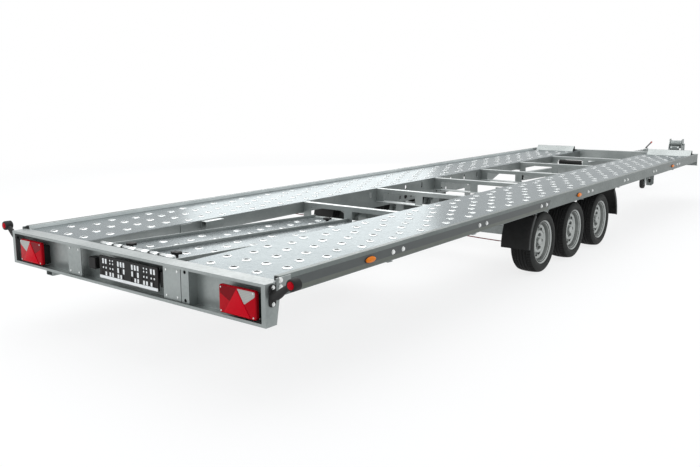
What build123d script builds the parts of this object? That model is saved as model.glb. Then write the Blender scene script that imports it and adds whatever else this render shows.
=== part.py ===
from build123d import *
import math
import os

# Car carrier trailer: low flat deck over three axles, parked on its jockey wheel.
# All sizes in millimetres. X runs forward from the rear face, Y to the left, Z up from the ground.

# Deck
deck_length = 8500.0
deck_width = 2300.0
deck_top = 631.0
deck_sheet = 3.0
well_half = 460.0
track_fold = 90.0

# Corner share of every punched slot
slot_round = 0.45

# Pressed grip holes, in rows that alternate; each row lists shares of the track's width
grip_bore = 18.0
grip_collar = 27.0
grip_crown = 21.0
grip_rise = 5.0
grip_pitch = 162.5
grip_first = 170.0
grip_end_gap = 30.0
grip_rows = ((0.186, 0.442, 0.683), (0.120, 0.339, 0.552, 0.768))
ramp_rows = ((0.28, 0.72), (0.5,))

# Side rails
rail_top = 657.0
rail_height = 100.0
rail_sheet = 4.0
rail_lip = 35.0
rail_foot = 50.0

# Rear lamp frame
rear_top = 636.0
rear_height = 213.0
rear_depth = 100.0
rear_foot_depth = 76.0
rear_sheet = 4.0
rear_lip = 16.0
end_lip = 28.0
gusset_width = 140.0
gusset_inset = 14.0
gusset_center = 455.0
rivet_radius = 5.0
rivet_reach = (45.0, 70.0)
post_center = -560.0
post_span = 60.0
post_hole = 10.0
foot_center = 750.0
foot_span = 70.0
foot_drop = 32.0
corner_gap = 4.0
corner_length = 105.0
corner_height = 70.0

# Front beam and wheel stops
front_depth = 60.0
stop_width = 560.0
stop_rise = 72.0
stop_length = 110.0
stop_crown = 26.0
stop_front_lean = 10.0
stop_gap = 6.0

# Cross-members
member_first = 1120.0
member_front_gap = 1068.0
member_count = 7
member_depth = 100.0
member_width = 50.0
member_sheet = 4.0
member_top_web = 38.0
post_width = 80.0
tie_drop = 126.0
tie_width = 90.0
tie_sheet = 8.0
notch_gap = 1.0

# Axle girders
girder_rear = 2560.0
girder_front = 5800.0
girder_bottom = 450.0
girder_sheet = 5.0
girder_taper = 300.0
oval_first = 3100.0
oval_pitch = 300.0
oval_count = 8
oval_drop = 50.0
oval_size = (28.0, 56.0)
group_ahead = 255.0
group_pitch = 100.0
group_rise = 42.0
group_sizes = ((26.0, 40.0), (56.0, 40.0), (26.0, 40.0))

# Wheels and axles
axle_first = 3445.0
axle_pitch = 696.5
axle_count = 3
tyre_diameter = 524.5
tyre_width = 197.0
tyre_inset = 63.0
bead_radius = 166.0
rim_flange = 181.0
rim_width = 168.0
rim_sheet = 5.0
rim_drop = 145.0
disc_offset = 22.0
nave_radius = 90.0
nave_rise = 16.0
hub_hole = 33.0
hub_cap_rise = 30.0
rim_flange_foot = 9.0
vent_count = 12
vent_size = (17.0, 30.0)
vent_circle = 122.0
crown_drop = 9.0
shoulder_share = 0.82
flange_gap = 2.0
drum_radius = 112.0
drum_inset = 104.0
stub_radius = 25.0
fit_gap = 0.3
tube_side = 80.0
tube_top = 340.0
bracket_width = 130.0
arm_length = 150.0
arm_sheet = 40.0
arm_gap = 20.0
arm_toe = 46.0
arm_heel = 38.0
plate_radius = 120.0
plate_sheet = 5.0
plate_gap = 5.0

# Mudguards
guard_sheet = 5.0
guard_radius = 395.0
guard_width = 236.0
guard_outset = 28.0
guard_facets = 8
guard_start = 45.0
guard_lip = 38.0
guard_bottom = 262.0
guard_bracket = 5.0
guard_bracket_length = 60.0
guard_front_flare = 5.0

# Drawbar
drawbar_overlap = 2170.0
drawbar_rear_half = 440.0
drawbar_reach = 1450.0
drawbar_front_half = 62.0
drawbar_height = 100.0
drawbar_width = 50.0
drawbar_wall = 4.0

# Coupling
housing_length = 430.0
housing_nose = 110.0
housing_width = 90.0
housing_height = 130.0
shaft_radius = 25.0
bellows_length = 120.0
bellows_radius = 42.0
bellows_folds = 5
head_length = 210.0
head_width = 84.0
head_height = 92.0
ball_radius = 25.0
ball_depth = 30.0
ball_setback = 46.2
head_round = 37.8
bellows_fold = 10.0
lever_sheet = 8.0
lever_breadth = 24.0
lever_knee = (75.0, 98.0)
lever_tip = (370.0, 168.0)
lever_setback = 120.0
lever_lift = 20.0

# Jockey wheel
jack_setback = 360.0
jack_reach = 152.0
jack_tube = 30.0
jack_wall = 4.7
jack_tube_bottom = 360.0
jack_tube_top = 610.0
jack_wheel_radius = 90.0
jack_wheel_width = 56.0
jack_trail = 42.0
jack_leg_bottom = 205.0
jack_leg_length = 230.0
jack_clamp_length = 80.0
jack_clamp_height = 70.0
jack_crank = 120.0
fork_sheet = 6.0
fork_gap = 5.0
pin_radius = 10.0
pin_end = 12.0
leg_pin = 16.0
crank_half = 12.0
crank_breadth = 20.0
crank_sheet = 8.0
crank_grip = 70.0
tube_cap = 20.0
fork_shoulder = 28.0
fork_toe = 22.0
fork_tip = 20.0
fork_crown = 8.0
jack_hub = 30.0
jack_web = 40.0
jack_tread = 22.0
jack_shoulder = 4.0

# Winch
winch_offset = 45.0
winch_width = 165.0
winch_height = 190.0
winch_length = 170.0
winch_sheet = 5.0
winch_drum = 42.0
winch_flange = 64.0
winch_shaft = 12.0
winch_shaft_height = 118.0
crank_length = 100.0
winch_lean = (60.0, 30.0)
winch_clear = 5.0
winch_rim = 5.0
winch_crank_gap = 26.0
winch_shaft_end = 6.0

# Loading ramps stored in the well
ramp_nose_gap = 4.0
ramp_width = 334.0
ramp_gap = 6.0
ramp_rear = 112.0
ramp_rear_top = 600.0
ramp_rim = 25.0
ramp_sheet = 4.0
ramp_tube = 14.0
ramp_tube_lift = 8.0
ramp_tube_bite = 4.0
shelf_depth = 20.0
shelf_half = 360.0
knob_radius = 25.0
lobe_radius = 9.0
lobe_count = 6
knob_height = 28.0
stem_radius = 12.0
knob_thick = 14.0
knobs_left = ((110.0, 0.0), (1850.0, -110.0))
knobs_right = ((110.0, -75.0), (1850.0, -60.0))

# Lamps
lamp_width = 256.0
lamp_height = 146.0
lamp_end_gap = 200.0
lamp_center_z = 516.0
lens_depth = 20.0
lens_inset = 8.0
lens_corner = 14.0
housing_margin = 5.0
reflector_height = 124.0
reflector_width = 142.0
reflector_depth = 4.0
marker_radius = 31.0
marker_depth = 52.0
marker_reach = 142.0
marker_z = 650.0
marker_lens = 21.0
marker_lens_depth = 8.0
marker_root_x = 45.0
marker_root_z = 574.0
marker_plate_height = 110.0
marker_plate_length = 46.0
marker_plate_sheet = 8.0
marker_arm_radius = 16.0
side_lamp_length = 92.0
side_lamp_height = 36.0
side_lamp_depth = 16.0
side_lamp_z = 603.0
side_lamp_shares = (0.0986, 0.4735, 0.842)
plate_center = -66.0
plate_width = 536.0
plate_height = 132.0
plate_thickness = 10.0
plate_inset = 18.0
plate_foot = 463.0
spacer_width = 30.0
spacer_inset = 20.0
plate_lamp_inset = 30.0
plate_lamps = ((265.0, 330.0, 497.0, 567.0), (-378.0, -337.0, 485.0, 572.0))
slot_width = 17.0
slot_rows = ((30.0, 24.0), (64.0, 30.0), (102.0, 30.0))
slot_columns = (-9.0, -8.0, -6.5, -5.5, -3.5, -2.5, -1.5, 1.5, 2.5, 3.5, 5.5, 6.5, 8.0, 9.0)
slot_pitch = 26.0

# Brake rod and cables under the chassis
rod_radius = 6.0
rod_drop = 48.0
rod_hanger = 8.0
strap_half = 16.0
rod_rear = 5060.0
equaliser_width = 300.0
equaliser_depth = 24.0
cable_radius = 4.0
cable_end_gap = 1.5

# Dark cross tube ahead of the last cross-member
cross_tube_radius = 32.0
cross_tube_span = (110.0, 440.0)
cross_tube_ahead = 190.0

# Hanger plates
hanger_edge_gap = 6.0
hanger_width = 90.0
hanger_height = 118.0
hanger_sheet = 6.0
hanger_slot = (26.0, 52.0)
hanger_taper = 24.0

# Ramp latches on the left track's inner wall
latch_plate = (840.0, 940.0)
latch_clamp = (1030.0, 1200.0)
latch_reach = 55.0
latch_sheet = 5.0
latch_height = 62.0

# Values that follow from the sizes above
half = deck_width / 2
rail_bottom = rail_top - rail_height
rail_inner = half - rail_sheet
deck_under = deck_top - deck_sheet
rear_bottom = rear_top - rear_height
front_face = deck_length - front_depth
wheel_radius = tyre_diameter / 2
wheel_y = half - tyre_inset - tyre_width / 2
member_bottom = deck_under - member_depth
member_pitch = (deck_length - member_first - member_front_gap) / (member_count - 1)
members = [member_first + member_pitch * i for i in range(member_count)]
axles = [axle_first + axle_pitch * i for i in range(axle_count)]
tie_top = deck_under - tie_drop + tie_sheet
tie_bottom = tie_top - tie_sheet
drawbar_top = tie_bottom
drawbar_bottom = drawbar_top - drawbar_height
drawbar_mid = (drawbar_top + drawbar_bottom) / 2
drawbar_rear = deck_length - drawbar_overlap
drawbar_front = deck_length + drawbar_reach
jack_x = drawbar_front - jack_setback
stop_center = (well_half + half) / 2
winch_y = -stop_center - winch_offset
lamp_center_y = half - lamp_end_gap
marker_y = half + marker_reach
housing_front = drawbar_front + housing_nose
bellows_front = housing_front + bellows_length
head_front = bellows_front + head_length
rear_most = -marker_lens_depth
x_middle = (rear_most + head_front) / 2
sides = {"left": 1, "right": -1}

os.makedirs("parts", exist_ok=True)


def block(x, y, z):
    """Box between two limits along each axis."""
    size = [abs(b - a) for a, b in (x, y, z)]
    middle = [(a + b) / 2 for a, b in (x, y, z)]
    return Pos(*middle) * Box(*size)


def folded(path, thickness):
    """Outline of a sheet folded along a path, its thickness to the right of travel."""
    points = [Vector(*p) for p in path]
    runs = [(b - a).normalized() for a, b in zip(points, points[1:])]
    rights = [Vector(r.Y, -r.X) for r in runs]
    inner = [points[0] + rights[0] * thickness]
    for point, a, b in zip(points[1:], rights, rights[1:]):
        inner.append(point + (a + b) * (thickness / (1 + a.dot(b))))
    inner.append(points[-1] + rights[-1] * thickness)
    return [(p.X, p.Y) for p in points + inner[::-1]]


def outline(points):
    """Flat face inside a closed run of points."""
    return make_face(Polyline(*points, close=True))


def along_x(points, x0, x1):
    """Section in Y and Z carried from one X to another."""
    face = Plane.YZ.offset(x0) * outline(points)
    return extrude(face, amount=x1 - x0, dir=(1, 0, 0))


def along_y(points, y0, y1):
    """Section in X and Z carried from one Y to another."""
    face = Plane.XZ.offset(-y0) * outline(points)
    return extrude(face, amount=y1 - y0, dir=(0, 1, 0))


def spun(points):
    """Ring about the Y axis from a section of (offset along Y, radius) points."""
    face = Plane.XY * outline([(r, a) for a, r in points])
    return revolve(face, Axis.Y)


def rod(start, end, radius):
    """Round bar between two points."""
    a, b = Vector(*start), Vector(*end)
    return Solid.make_cylinder(radius, (b - a).length, Plane(a, z_dir=b - a))


def mirrored(shape):
    """The same shape on the other side of the trailer."""
    return mirror(shape, Plane.XZ)


def solids_of(*shapes):
    """Separate solids gathered in one piece."""
    found = []
    for shape in shapes:
        found.extend(shape.solids())
    return Compound(children=found)


nodes = {}


def keep(name, *shapes):
    """Store a piece under its name."""
    nodes[name] = solids_of(*shapes)


def gripped(sheet, places, top, thickness):
    """Sheet with a raised collar pressed up round a hole at each place."""
    upright = (Align.CENTER, Align.CENTER, Align.MIN)
    collar = Cone(grip_collar, grip_crown, grip_rise, align=upright)
    punch = Cylinder(grip_bore, grip_rise + thickness + 2, align=upright)
    sheet += [Pos(x, y, top) * collar for x, y in places]
    return sheet - [Pos(x, y, top - thickness - 1) * punch for x, y in places]


def staggered(first, last, edge, width, rows):
    """Places of grip holes from one X to another, the rows taken in turn."""
    count = int((last - first) // grip_pitch) + 1
    shares = [(i, share) for i in range(count) for share in rows[i % len(rows)]]
    return [(first + grip_pitch * i, edge + share * width) for i, share in shares]


# Side rails: web, top lip turned in and down to the deck, foot turned in
rail_path = [(half - rail_lip, deck_top), (half - rail_lip, rail_top), (half, rail_top)]
rail_path += [(half, rail_bottom), (half - rail_foot, rail_bottom)]
rail = along_x(folded(rail_path, rail_sheet), rear_depth, front_face)
keep("rail_left", rail)
keep("rail_right", mirrored(rail))

# Corner plates that bolt the rails to the rear frame, ahead of the marker lamps' roots
corner_rear = marker_root_x + marker_plate_length / 2 + corner_gap
corner_z = (rail_top - rail_sheet - corner_height, rail_top - rail_sheet)
corner = block((corner_rear, corner_rear + corner_length), (half, half + rail_sheet), corner_z)
keep("corner_plates", corner, mirrored(corner))

# Deck tracks: flat sheet with rows of grip holes
track = block((rear_depth, front_face), (well_half, rail_inner), (deck_under, deck_top))
last_row = front_face - stop_gap - stop_length - grip_end_gap
grips = staggered(grip_first, last_row, well_half, half - well_half, grip_rows)
track = gripped(track, grips, deck_top, deck_sheet)
keep("track_left", track)
keep("track_right", mirrored(track))

# Well edges: strips turned down along the tracks, stopped at each cross-member and at the girders
edge_y = (well_half, well_half + deck_sheet)
edge_z = (deck_top - track_fold, deck_under)
edge = block((rear_depth, front_face), edge_y, edge_z)
stops = [(x - member_width / 2 - notch_gap, x + member_width / 2 + notch_gap) for x in members]
stops += [(girder_rear - notch_gap, girder_front + notch_gap)]
edge -= [block(span, (edge_y[0] - 1, edge_y[1] + 1), (edge_z[0] - 1, edge_z[1] + 1)) for span in stops]
keep("well_edges", edge, mirrored(edge))

# Rear lamp frame: channel open to the rear with lipped edges and tapered end plates
frame_path = [(0, rear_top - rear_lip), (0, rear_top), (rear_foot_depth, rear_top)]
frame_path += [(rear_foot_depth, rear_bottom), (0, rear_bottom), (0, rear_bottom + rear_lip)]
frame = along_y(folded(frame_path, rear_sheet), -half + rear_sheet, half - rear_sheet)
end_plate = [(0, rear_top), (rear_depth, rear_top), (rear_depth, rail_bottom)]
end_plate += [(rear_foot_depth, rear_bottom), (0, rear_bottom)]
inside = (-half + rear_sheet, half - rear_sheet)
frame += block((rear_foot_depth, rear_depth), inside, (rear_top - rear_sheet, rear_top))
for y in (-half, half - rear_sheet):
    frame += along_y(end_plate, y, y + rear_sheet)
for y in (-half, half - end_lip):
    frame += block((0, rear_sheet), (y, y + end_lip), (rear_bottom, rear_top))
for y in (-gusset_center, gusset_center):
    wall = (y - gusset_width / 2, y + gusset_width / 2)
    frame += block((gusset_inset, gusset_inset + rear_sheet), wall, (rear_bottom, rear_top))
for y in (plate_center - plate_width / 4, plate_center + plate_width / 4):
    spacer_x = (plate_inset + plate_thickness, rear_foot_depth)
    spacer_z = (plate_foot + spacer_inset, plate_foot + plate_height - spacer_inset)
    frame += block(spacer_x, (y - spacer_width / 2, y + spacer_width / 2), spacer_z)
for y in (-gusset_center, gusset_center):
    for across in (-rivet_reach[0], rivet_reach[0]):
        for rise in (-rivet_reach[1], rivet_reach[1]):
            at = (y + across, (rear_top + rear_bottom) / 2 + rise)
            frame -= rod((gusset_inset - 1, *at), (gusset_inset + rear_sheet + 1, *at), rivet_radius)
post_y = (post_center - post_span / 2, post_center + post_span / 2)
post_wall = (gusset_inset, gusset_inset + rear_sheet)
post = block(post_wall, post_y, (rear_bottom, rear_top))
for z in (rear_bottom + post_span / 2, rear_top - post_span / 2):
    post -= rod((post_wall[0] - 1, post_center, z), (post_wall[1] + 1, post_center, z), post_hole)
for y in (post_y[0], post_y[1] - rear_sheet):
    post += block((gusset_inset, rear_foot_depth), (y, y + rear_sheet), (rear_bottom, rear_top))
frame += post
foot_x = (gusset_inset, rear_foot_depth)
foot_y = (foot_center - foot_span / 2, foot_center + foot_span / 2)
foot = block(foot_x, foot_y, (rear_bottom - foot_drop, rear_bottom))
foot -= block((foot_x[0] - 1, foot_x[1] + 1), (foot_y[0] + rear_sheet, foot_y[1] - rear_sheet),
              (rear_bottom - foot_drop + rear_sheet, rear_bottom))
frame += foot
shelf_top = ramp_rear_top + ramp_tube_lift - ramp_tube - fit_gap
shelf_x = (rear_foot_depth, ramp_rear + shelf_depth)
frame += block(shelf_x, (-shelf_half, shelf_half), (shelf_top - rear_sheet, shelf_top))
keep("rear_frame", frame)

# Front beam
beam_path = [(deck_length, rail_top), (front_face, rail_top), (front_face, drawbar_top)]
beam_path += [(deck_length, drawbar_top)]
beam = along_y(folded(beam_path[::-1], rail_sheet), -half, half)
keep("front_beam", beam)

# Wheel stops: bent plates across the front of each track
stop_end = front_face - stop_gap
crown_front = stop_end - stop_front_lean
stop_path = [(stop_end, deck_top), (crown_front, deck_top + stop_rise)]
stop_path += [(crown_front - stop_crown, deck_top + stop_rise), (stop_end - stop_length, deck_top)]
stop_y = (stop_center - stop_width / 2, stop_center + stop_width / 2)
stop = along_y(folded(stop_path[::-1], rail_sheet), *stop_y)
stop -= block((stop_end - stop_length - 50, stop_end + 50), (0, half), (deck_top - 50, deck_top))
keep("wheel_stops", stop, mirrored(stop))

# Cross-members: channel arms under the tracks, an open top bar, posts and a lower tie in the well
arm_path = [(member_width / 2, deck_under), (-member_width / 2, deck_under)]
arm_path += [(-member_width / 2, member_bottom), (member_width / 2, member_bottom)]
bar_path = [(member_width / 2, deck_under), (-member_width / 2, deck_under)]
bar_path += [(-member_width / 2, deck_under - member_top_web)]
post_x = (-member_width / 2, -member_width / 2 + member_sheet)
crossers = []
for index, x in enumerate(members):
    under_ramps = index == 0
    arm = along_y(folded(arm_path[::-1], member_sheet), well_half, rail_inner)
    rail_notch = (half - rail_foot - notch_gap, half)
    arm -= block((-member_width, member_width), rail_notch, (0, rail_bottom + rail_sheet))
    member = arm + mirrored(arm)
    member += block((-tie_width / 2, tie_width / 2), (-well_half, well_half), (tie_top - tie_sheet, tie_top))
    posts = [well_half - post_width / 2]
    if not under_ramps:
        member += along_y(folded(bar_path[::-1], member_sheet), -well_half, well_half)
        posts += [0.0]
    post_top = member_bottom + member_sheet if under_ramps else deck_under - member_top_web
    for y in sorted({*posts, *[-p for p in posts]}):
        member += block(post_x, (y - post_width / 2, y + post_width / 2), (tie_top - tie_sheet, post_top))
    crossers.append(Pos(x, 0, 0) * member)
keep("cross_members", *crossers)

# Axle girders: deep perforated webs, notched round the cross-members
girder_edge = [(girder_rear, deck_under), (girder_front, deck_under), (girder_front, deck_top - track_fold)]
girder_edge += [(girder_front - girder_taper, girder_bottom), (girder_rear + girder_taper / 2, girder_bottom)]
girder_edge += [(girder_rear, deck_top - track_fold)]
girder_y = (well_half + fit_gap, well_half + fit_gap + girder_sheet)
girder = along_y(girder_edge, *girder_y)
for x in axles:
    tube_x = x + arm_length
    bracket_span = (tube_x - bracket_width / 2, tube_x + bracket_width / 2)
    girder += block(bracket_span, girder_y, (tube_top, girder_bottom + 1))
openings = [(oval_first + oval_pitch * i, deck_under - oval_drop, oval_size) for i in range(oval_count)]
for x in axles:
    for place, size in zip((-1, 0, 1), group_sizes):
        openings.append((x + group_ahead + place * group_pitch, girder_bottom + group_rise, size))
for x, z, (width, height) in openings:
    oval = RectangleRounded(width, height, min(width, height) * slot_round)
    cutter = Plane.XZ.offset(-girder_y[0] + 1) * Pos(x, z) * oval
    girder -= extrude(cutter, amount=girder_sheet + 2, dir=(0, 1, 0))
for x in members:
    reach = member_width / 2 + notch_gap
    girder -= block((x - reach, x + reach), (well_half - 1, well_half + 20), (member_bottom - 1, deck_under))
keep("girders", girder, mirrored(girder))


def tyre_ring():
    """Tyre as a ring with flat beads, bulging sidewalls and a crowned tread."""
    w = tyre_width / 2
    bead = rim_width / 2 - rim_flange_foot
    shoulder = (wheel_radius - crown_drop, w * shoulder_share)
    clear_edge = (rim_flange + flange_gap, rim_width / 2 - flange_gap)
    bulge = ((clear_edge[0] + shoulder[0]) / 2, w)
    section = [Line((bead_radius, -bead), (bead_radius, bead)), Line((bead_radius, bead), clear_edge)]
    section += [ThreePointArc(clear_edge, bulge, shoulder)]
    section += [ThreePointArc(shoulder, (wheel_radius, 0), (shoulder[0], -shoulder[1]))]
    section += [ThreePointArc((shoulder[0], -shoulder[1]), (bulge[0], -w), (clear_edge[0], -clear_edge[1]))]
    section += [Line((clear_edge[0], -clear_edge[1]), (bead_radius, -bead))]
    return revolve(make_face(section), Axis.Y)


def wheel_rim():
    """Well-base rim with a dished, vented disc and a raised nave."""
    w = rim_width / 2
    seat = bead_radius - fit_gap
    barrel = [(-w, rim_flange), (-w + rim_flange_foot, seat), (-w * 0.3, rim_drop)]
    barrel += [(w * 0.3, rim_drop), (w - rim_flange_foot, seat), (w, rim_flange)]
    disc = [(disc_offset, rim_drop - 1), (disc_offset - 10, nave_radius + 24)]
    disc += [(disc_offset + nave_rise, nave_radius), (disc_offset + nave_rise, nave_radius - 20)]
    disc += [(disc_offset, nave_radius - 30), (disc_offset, hub_hole)]
    rim = spun(folded(barrel, rim_sheet)) + spun(folded(disc, rim_sheet))
    vent_face = RectangleRounded(vent_size[1], vent_size[0], vent_size[0] * slot_round)
    slot = extrude(vent_face, amount=rim_width / 2, both=True)
    vent = Pos(0, disc_offset, vent_circle) * Rot(90, 0, 0) * slot
    return rim - [Rot(0, 360 * i / vent_count, 0) * vent for i in range(vent_count)]


def hub_drum():
    """Brake drum and hub with a capped nose, bored for the stub shaft."""
    bore = stub_radius + fit_gap
    inner = -drum_inset
    face = disc_offset - rim_sheet - fit_gap
    section = [(inner, drum_radius), (inner + 60, drum_radius), (face, nave_radius - 32)]
    section += [(face, hub_hole - fit_gap), (disc_offset + hub_cap_rise, hub_hole - fit_gap - 4)]
    section += [(disc_offset + hub_cap_rise, 0), (disc_offset + 4, 0), (disc_offset + 4, bore), (inner, bore)]
    return spun(section)


# Wheels: six, each a tyre on a rim bolted to a hub drum
for number, x in enumerate(axles, start=1):
    for side, sign in sides.items():
        place = Pos(x, wheel_y, wheel_radius)
        tyre = place * tyre_ring()
        rim = place * wheel_rim()
        drum = place * hub_drum()
        pieces = [tyre, rim, drum] if sign > 0 else [mirrored(p) for p in (tyre, rim, drum)]
        keep(f"tyre_{side}_{number}", pieces[0])
        keep(f"rim_{side}_{number}", pieces[1], pieces[2])

# Axles: square tube, trailing arms, stub shafts and brake back plates
arm_inner = wheel_y - tyre_width / 2 - arm_gap - arm_sheet
tube_z = tube_top - tube_side / 2
stub_end = wheel_y + disc_offset
back_y = wheel_y - drum_inset - plate_sheet - plate_gap
tubes = []
swing_arms = []
for x in axles:
    tube_x = x + arm_length
    tube_span = (tube_x - tube_side / 2, tube_x + tube_side / 2)
    tubes.append(block(tube_span, (-arm_inner, arm_inner), (tube_z - tube_side / 2, tube_z + tube_side / 2)))
    arm_face = [(tube_x + arm_toe, tube_z + arm_toe), (x - arm_heel, wheel_radius + arm_heel)]
    arm_face += [(x - arm_heel, wheel_radius - arm_heel), (tube_x + arm_toe, tube_z - arm_toe)]
    swing = along_y(arm_face, arm_inner, arm_inner + arm_sheet)
    swing += rod((x, arm_inner + arm_sheet, wheel_radius), (x, stub_end, wheel_radius), stub_radius)
    swing += rod((x, back_y, wheel_radius), (x, back_y + plate_sheet, wheel_radius), plate_radius)
    swing_arms += [swing, mirrored(swing)]
keep("axle_tubes", *tubes)
keep("swing_arms", *swing_arms)


def guard(center_x, direction, radius):
    """Quarter arch behind or ahead of a wheel, with an outer lip."""
    start = math.radians(guard_start)
    stop = math.asin((guard_bottom - wheel_radius) / radius)
    angles = [start + (stop - start) * i / guard_facets for i in range(guard_facets + 1)]
    rays = [(direction * math.cos(a), math.sin(a)) for a in angles]
    path = [(center_x + radius * across, wheel_radius + radius * up) for across, up in rays]
    lip_radius = radius - guard_lip
    lip = [(center_x + lip_radius * across, wheel_radius + lip_radius * up) for across, up in rays]
    outer = half - tyre_inset + guard_outset
    order = path if direction > 0 else path[::-1]
    sheet_face = folded(order, guard_sheet)
    shell = along_y(sheet_face, outer - guard_width, outer)
    edge = along_y(path + lip[::-1], outer, outer + guard_sheet)
    top_x, top_z = path[0]
    bracket_x = sorted((top_x, top_x + direction * guard_bracket_length))
    bracket_z = (top_z - guard_bracket * 2, rail_bottom)
    bracket = block(bracket_x, (outer - guard_width, half - rail_sheet), bracket_z)
    return shell + edge + bracket


rear_guard = guard(axles[0], -1, guard_radius)
front_guard = guard(axles[-1], 1, guard_radius + guard_front_flare)
keep("mudguards", rear_guard, front_guard, mirrored(rear_guard), mirrored(front_guard))

# Drawbar: two box beams drawn together towards the coupling
beam_plan = [(drawbar_rear, drawbar_rear_half), (drawbar_front, drawbar_front_half)]
beam_plan += [(x, y - drawbar_width) for x, y in beam_plan[::-1]]
beam_face = Plane.XY.offset(drawbar_bottom) * outline(beam_plan)
draw_beam = extrude(beam_face, amount=drawbar_height, dir=(0, 0, 1))
hollow_plan = [(x, y - drawbar_wall if i < 2 else y + drawbar_wall) for i, (x, y) in enumerate(beam_plan)]
hollow_face = Plane.XY.offset(drawbar_bottom + drawbar_wall) * outline(hollow_plan)
draw_beam -= extrude(hollow_face, amount=drawbar_height - 2 * drawbar_wall, dir=(0, 0, 1))
keep("drawbar", draw_beam, mirrored(draw_beam))

# Coupling: housing on the drawbar nose, bellows on the shaft, head with a ball socket
housing_x = (housing_front - housing_length, housing_front)
housing_z = (drawbar_top, drawbar_top + housing_height / 2)
housing = block(housing_x, (-housing_width / 2, housing_width / 2), housing_z)
housing += block((drawbar_front + fit_gap, housing_front), (-housing_width / 2, housing_width / 2),
                 (drawbar_top - housing_height / 2, drawbar_top))
shaft_z = drawbar_top
keep("coupling_housing", housing)
fold = bellows_length / bellows_folds
rings = [(0, shaft_radius)]
for i in range(bellows_folds):
    rings += [(fold * (i + 0.15), bellows_radius - bellows_fold), (fold * (i + 0.5), bellows_radius)]
rings += [(bellows_length, bellows_radius - bellows_fold), (bellows_length, shaft_radius)]
bellows = Pos(housing_front, 0, shaft_z) * (Rot(0, 0, -90) * spun(rings))
keep("coupling_bellows", bellows)
head_z = (shaft_z - head_height / 2, shaft_z + head_height / 2)
head = block((bellows_front, head_front), (-head_width / 2, head_width / 2), head_z)
head = fillet(head.edges().filter_by(Axis.Z).group_by(Axis.X)[-1], min(head_round, head_width * slot_round))
head += rod((housing_front, 0, shaft_z), (bellows_front, 0, shaft_z), shaft_radius - fit_gap)
ball_x = head_front - ball_setback
head -= rod((ball_x, 0, head_z[0] - 1), (ball_x, 0, head_z[0] + ball_depth), ball_radius)
head -= Pos(ball_x, 0, head_z[0] + ball_depth) * Sphere(ball_radius)
keep("coupling_head", head)

# Hand brake lever beside the housing
lever_x = housing_front - lever_setback
lever_y = (-housing_width / 2 - lever_sheet, -housing_width / 2)
lever_z = drawbar_top + lever_lift
lever_path = [(lever_x, lever_z), (lever_x + lever_knee[0], lever_z + lever_knee[1])]
lever_path += [(lever_x + lever_tip[0], lever_z + lever_tip[1])]
keep("brake_lever", along_y(folded(lever_path, lever_breadth), *lever_y))

# Jockey wheel: clamp, outer tube, sliding leg, swivelling fork, wheel
draw_slope = (drawbar_rear_half - drawbar_front_half) / (drawbar_front - drawbar_rear)
jack_y = -jack_reach
clamp_plan = []
for x in (jack_x - jack_clamp_length / 2, jack_x + jack_clamp_length / 2):
    clamp_plan.append((x, -drawbar_front_half - (drawbar_front - x) * draw_slope))
clamp_plan += [(x, jack_y) for x, _ in clamp_plan[::-1]]
clamp_face = Plane.XY.offset(drawbar_mid - jack_clamp_height / 2) * outline(clamp_plan)
clamp = extrude(clamp_face, amount=jack_clamp_height, dir=(0, 0, 1))
clamp -= rod((jack_x, jack_y, 0), (jack_x, jack_y, deck_top), jack_tube + fit_gap)
keep("jack_clamp", clamp)
bore = jack_tube - jack_wall
outer_tube = rod((jack_x, jack_y, jack_tube_bottom), (jack_x, jack_y, jack_tube_top), jack_tube)
outer_tube -= rod((jack_x, jack_y, jack_tube_bottom - 1), (jack_x, jack_y, jack_tube_top - tube_cap), bore)
crank_x = jack_x + jack_crank
crank_y = (jack_y - crank_breadth / 2, jack_y + crank_breadth / 2)
crank_z = (jack_tube_top, jack_tube_top + crank_sheet)
crank = block((jack_x - crank_half, crank_x + crank_half), crank_y, crank_z)
crank += rod((crank_x, jack_y, jack_tube_top - crank_grip), (crank_x, jack_y, jack_tube_top), pin_radius)
keep("jack_tube", outer_tube + crank)
leg_radius = bore - fit_gap
leg = rod((jack_x, jack_y, jack_leg_bottom), (jack_x, jack_y, jack_leg_bottom + jack_leg_length), leg_radius)
leg += rod((jack_x, jack_y, jack_leg_bottom - leg_pin), (jack_x, jack_y, jack_leg_bottom), pin_radius)
keep("jack_leg", leg)
fork_top = jack_leg_bottom - fit_gap
fork_half = jack_wheel_width / 2 + fork_gap
wheel_x = jack_x - jack_trail
fork_x = (wheel_x - fork_shoulder, jack_x + fork_shoulder)
fork_foot = jack_wheel_radius - fork_tip
cheek = [(fork_x[1], fork_top), (fork_x[0], fork_top)]
cheek += [(wheel_x - fork_toe, fork_foot), (wheel_x + fork_toe, fork_foot)]
side_cheek = along_y(cheek, jack_y + fork_half, jack_y + fork_half + fork_sheet)
fork = side_cheek + Pos(0, -2 * fork_half - fork_sheet, 0) * side_cheek
fork_reach = fork_half + fork_sheet
fork += block(fork_x, (jack_y - fork_reach, jack_y + fork_reach), (fork_top - fork_crown, fork_top))
fork -= rod((jack_x, jack_y, fork_top - leg_pin), (jack_x, jack_y, fork_top + 1), pin_radius + fit_gap)
pin_reach = fork_half + pin_end
pin_ends = [(wheel_x, jack_y + side * pin_reach, jack_wheel_radius) for side in (-1, 1)]
fork += rod(*pin_ends, pin_radius)
keep("jack_fork", fork)
tread = jack_wheel_width / 2
jack_ring = [(-tread, pin_radius + fit_gap), (-tread, jack_hub), (-tread / 2, jack_web)]
jack_ring += [(-tread, jack_wheel_radius - jack_tread)]
jack_ring += [(-tread * shoulder_share, jack_wheel_radius - jack_shoulder), (0, jack_wheel_radius)]
jack_ring += [(-a, r) for a, r in jack_ring[-2::-1]]
keep("jack_wheel", Pos(wheel_x, jack_y, jack_wheel_radius) * spun(jack_ring))

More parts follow.
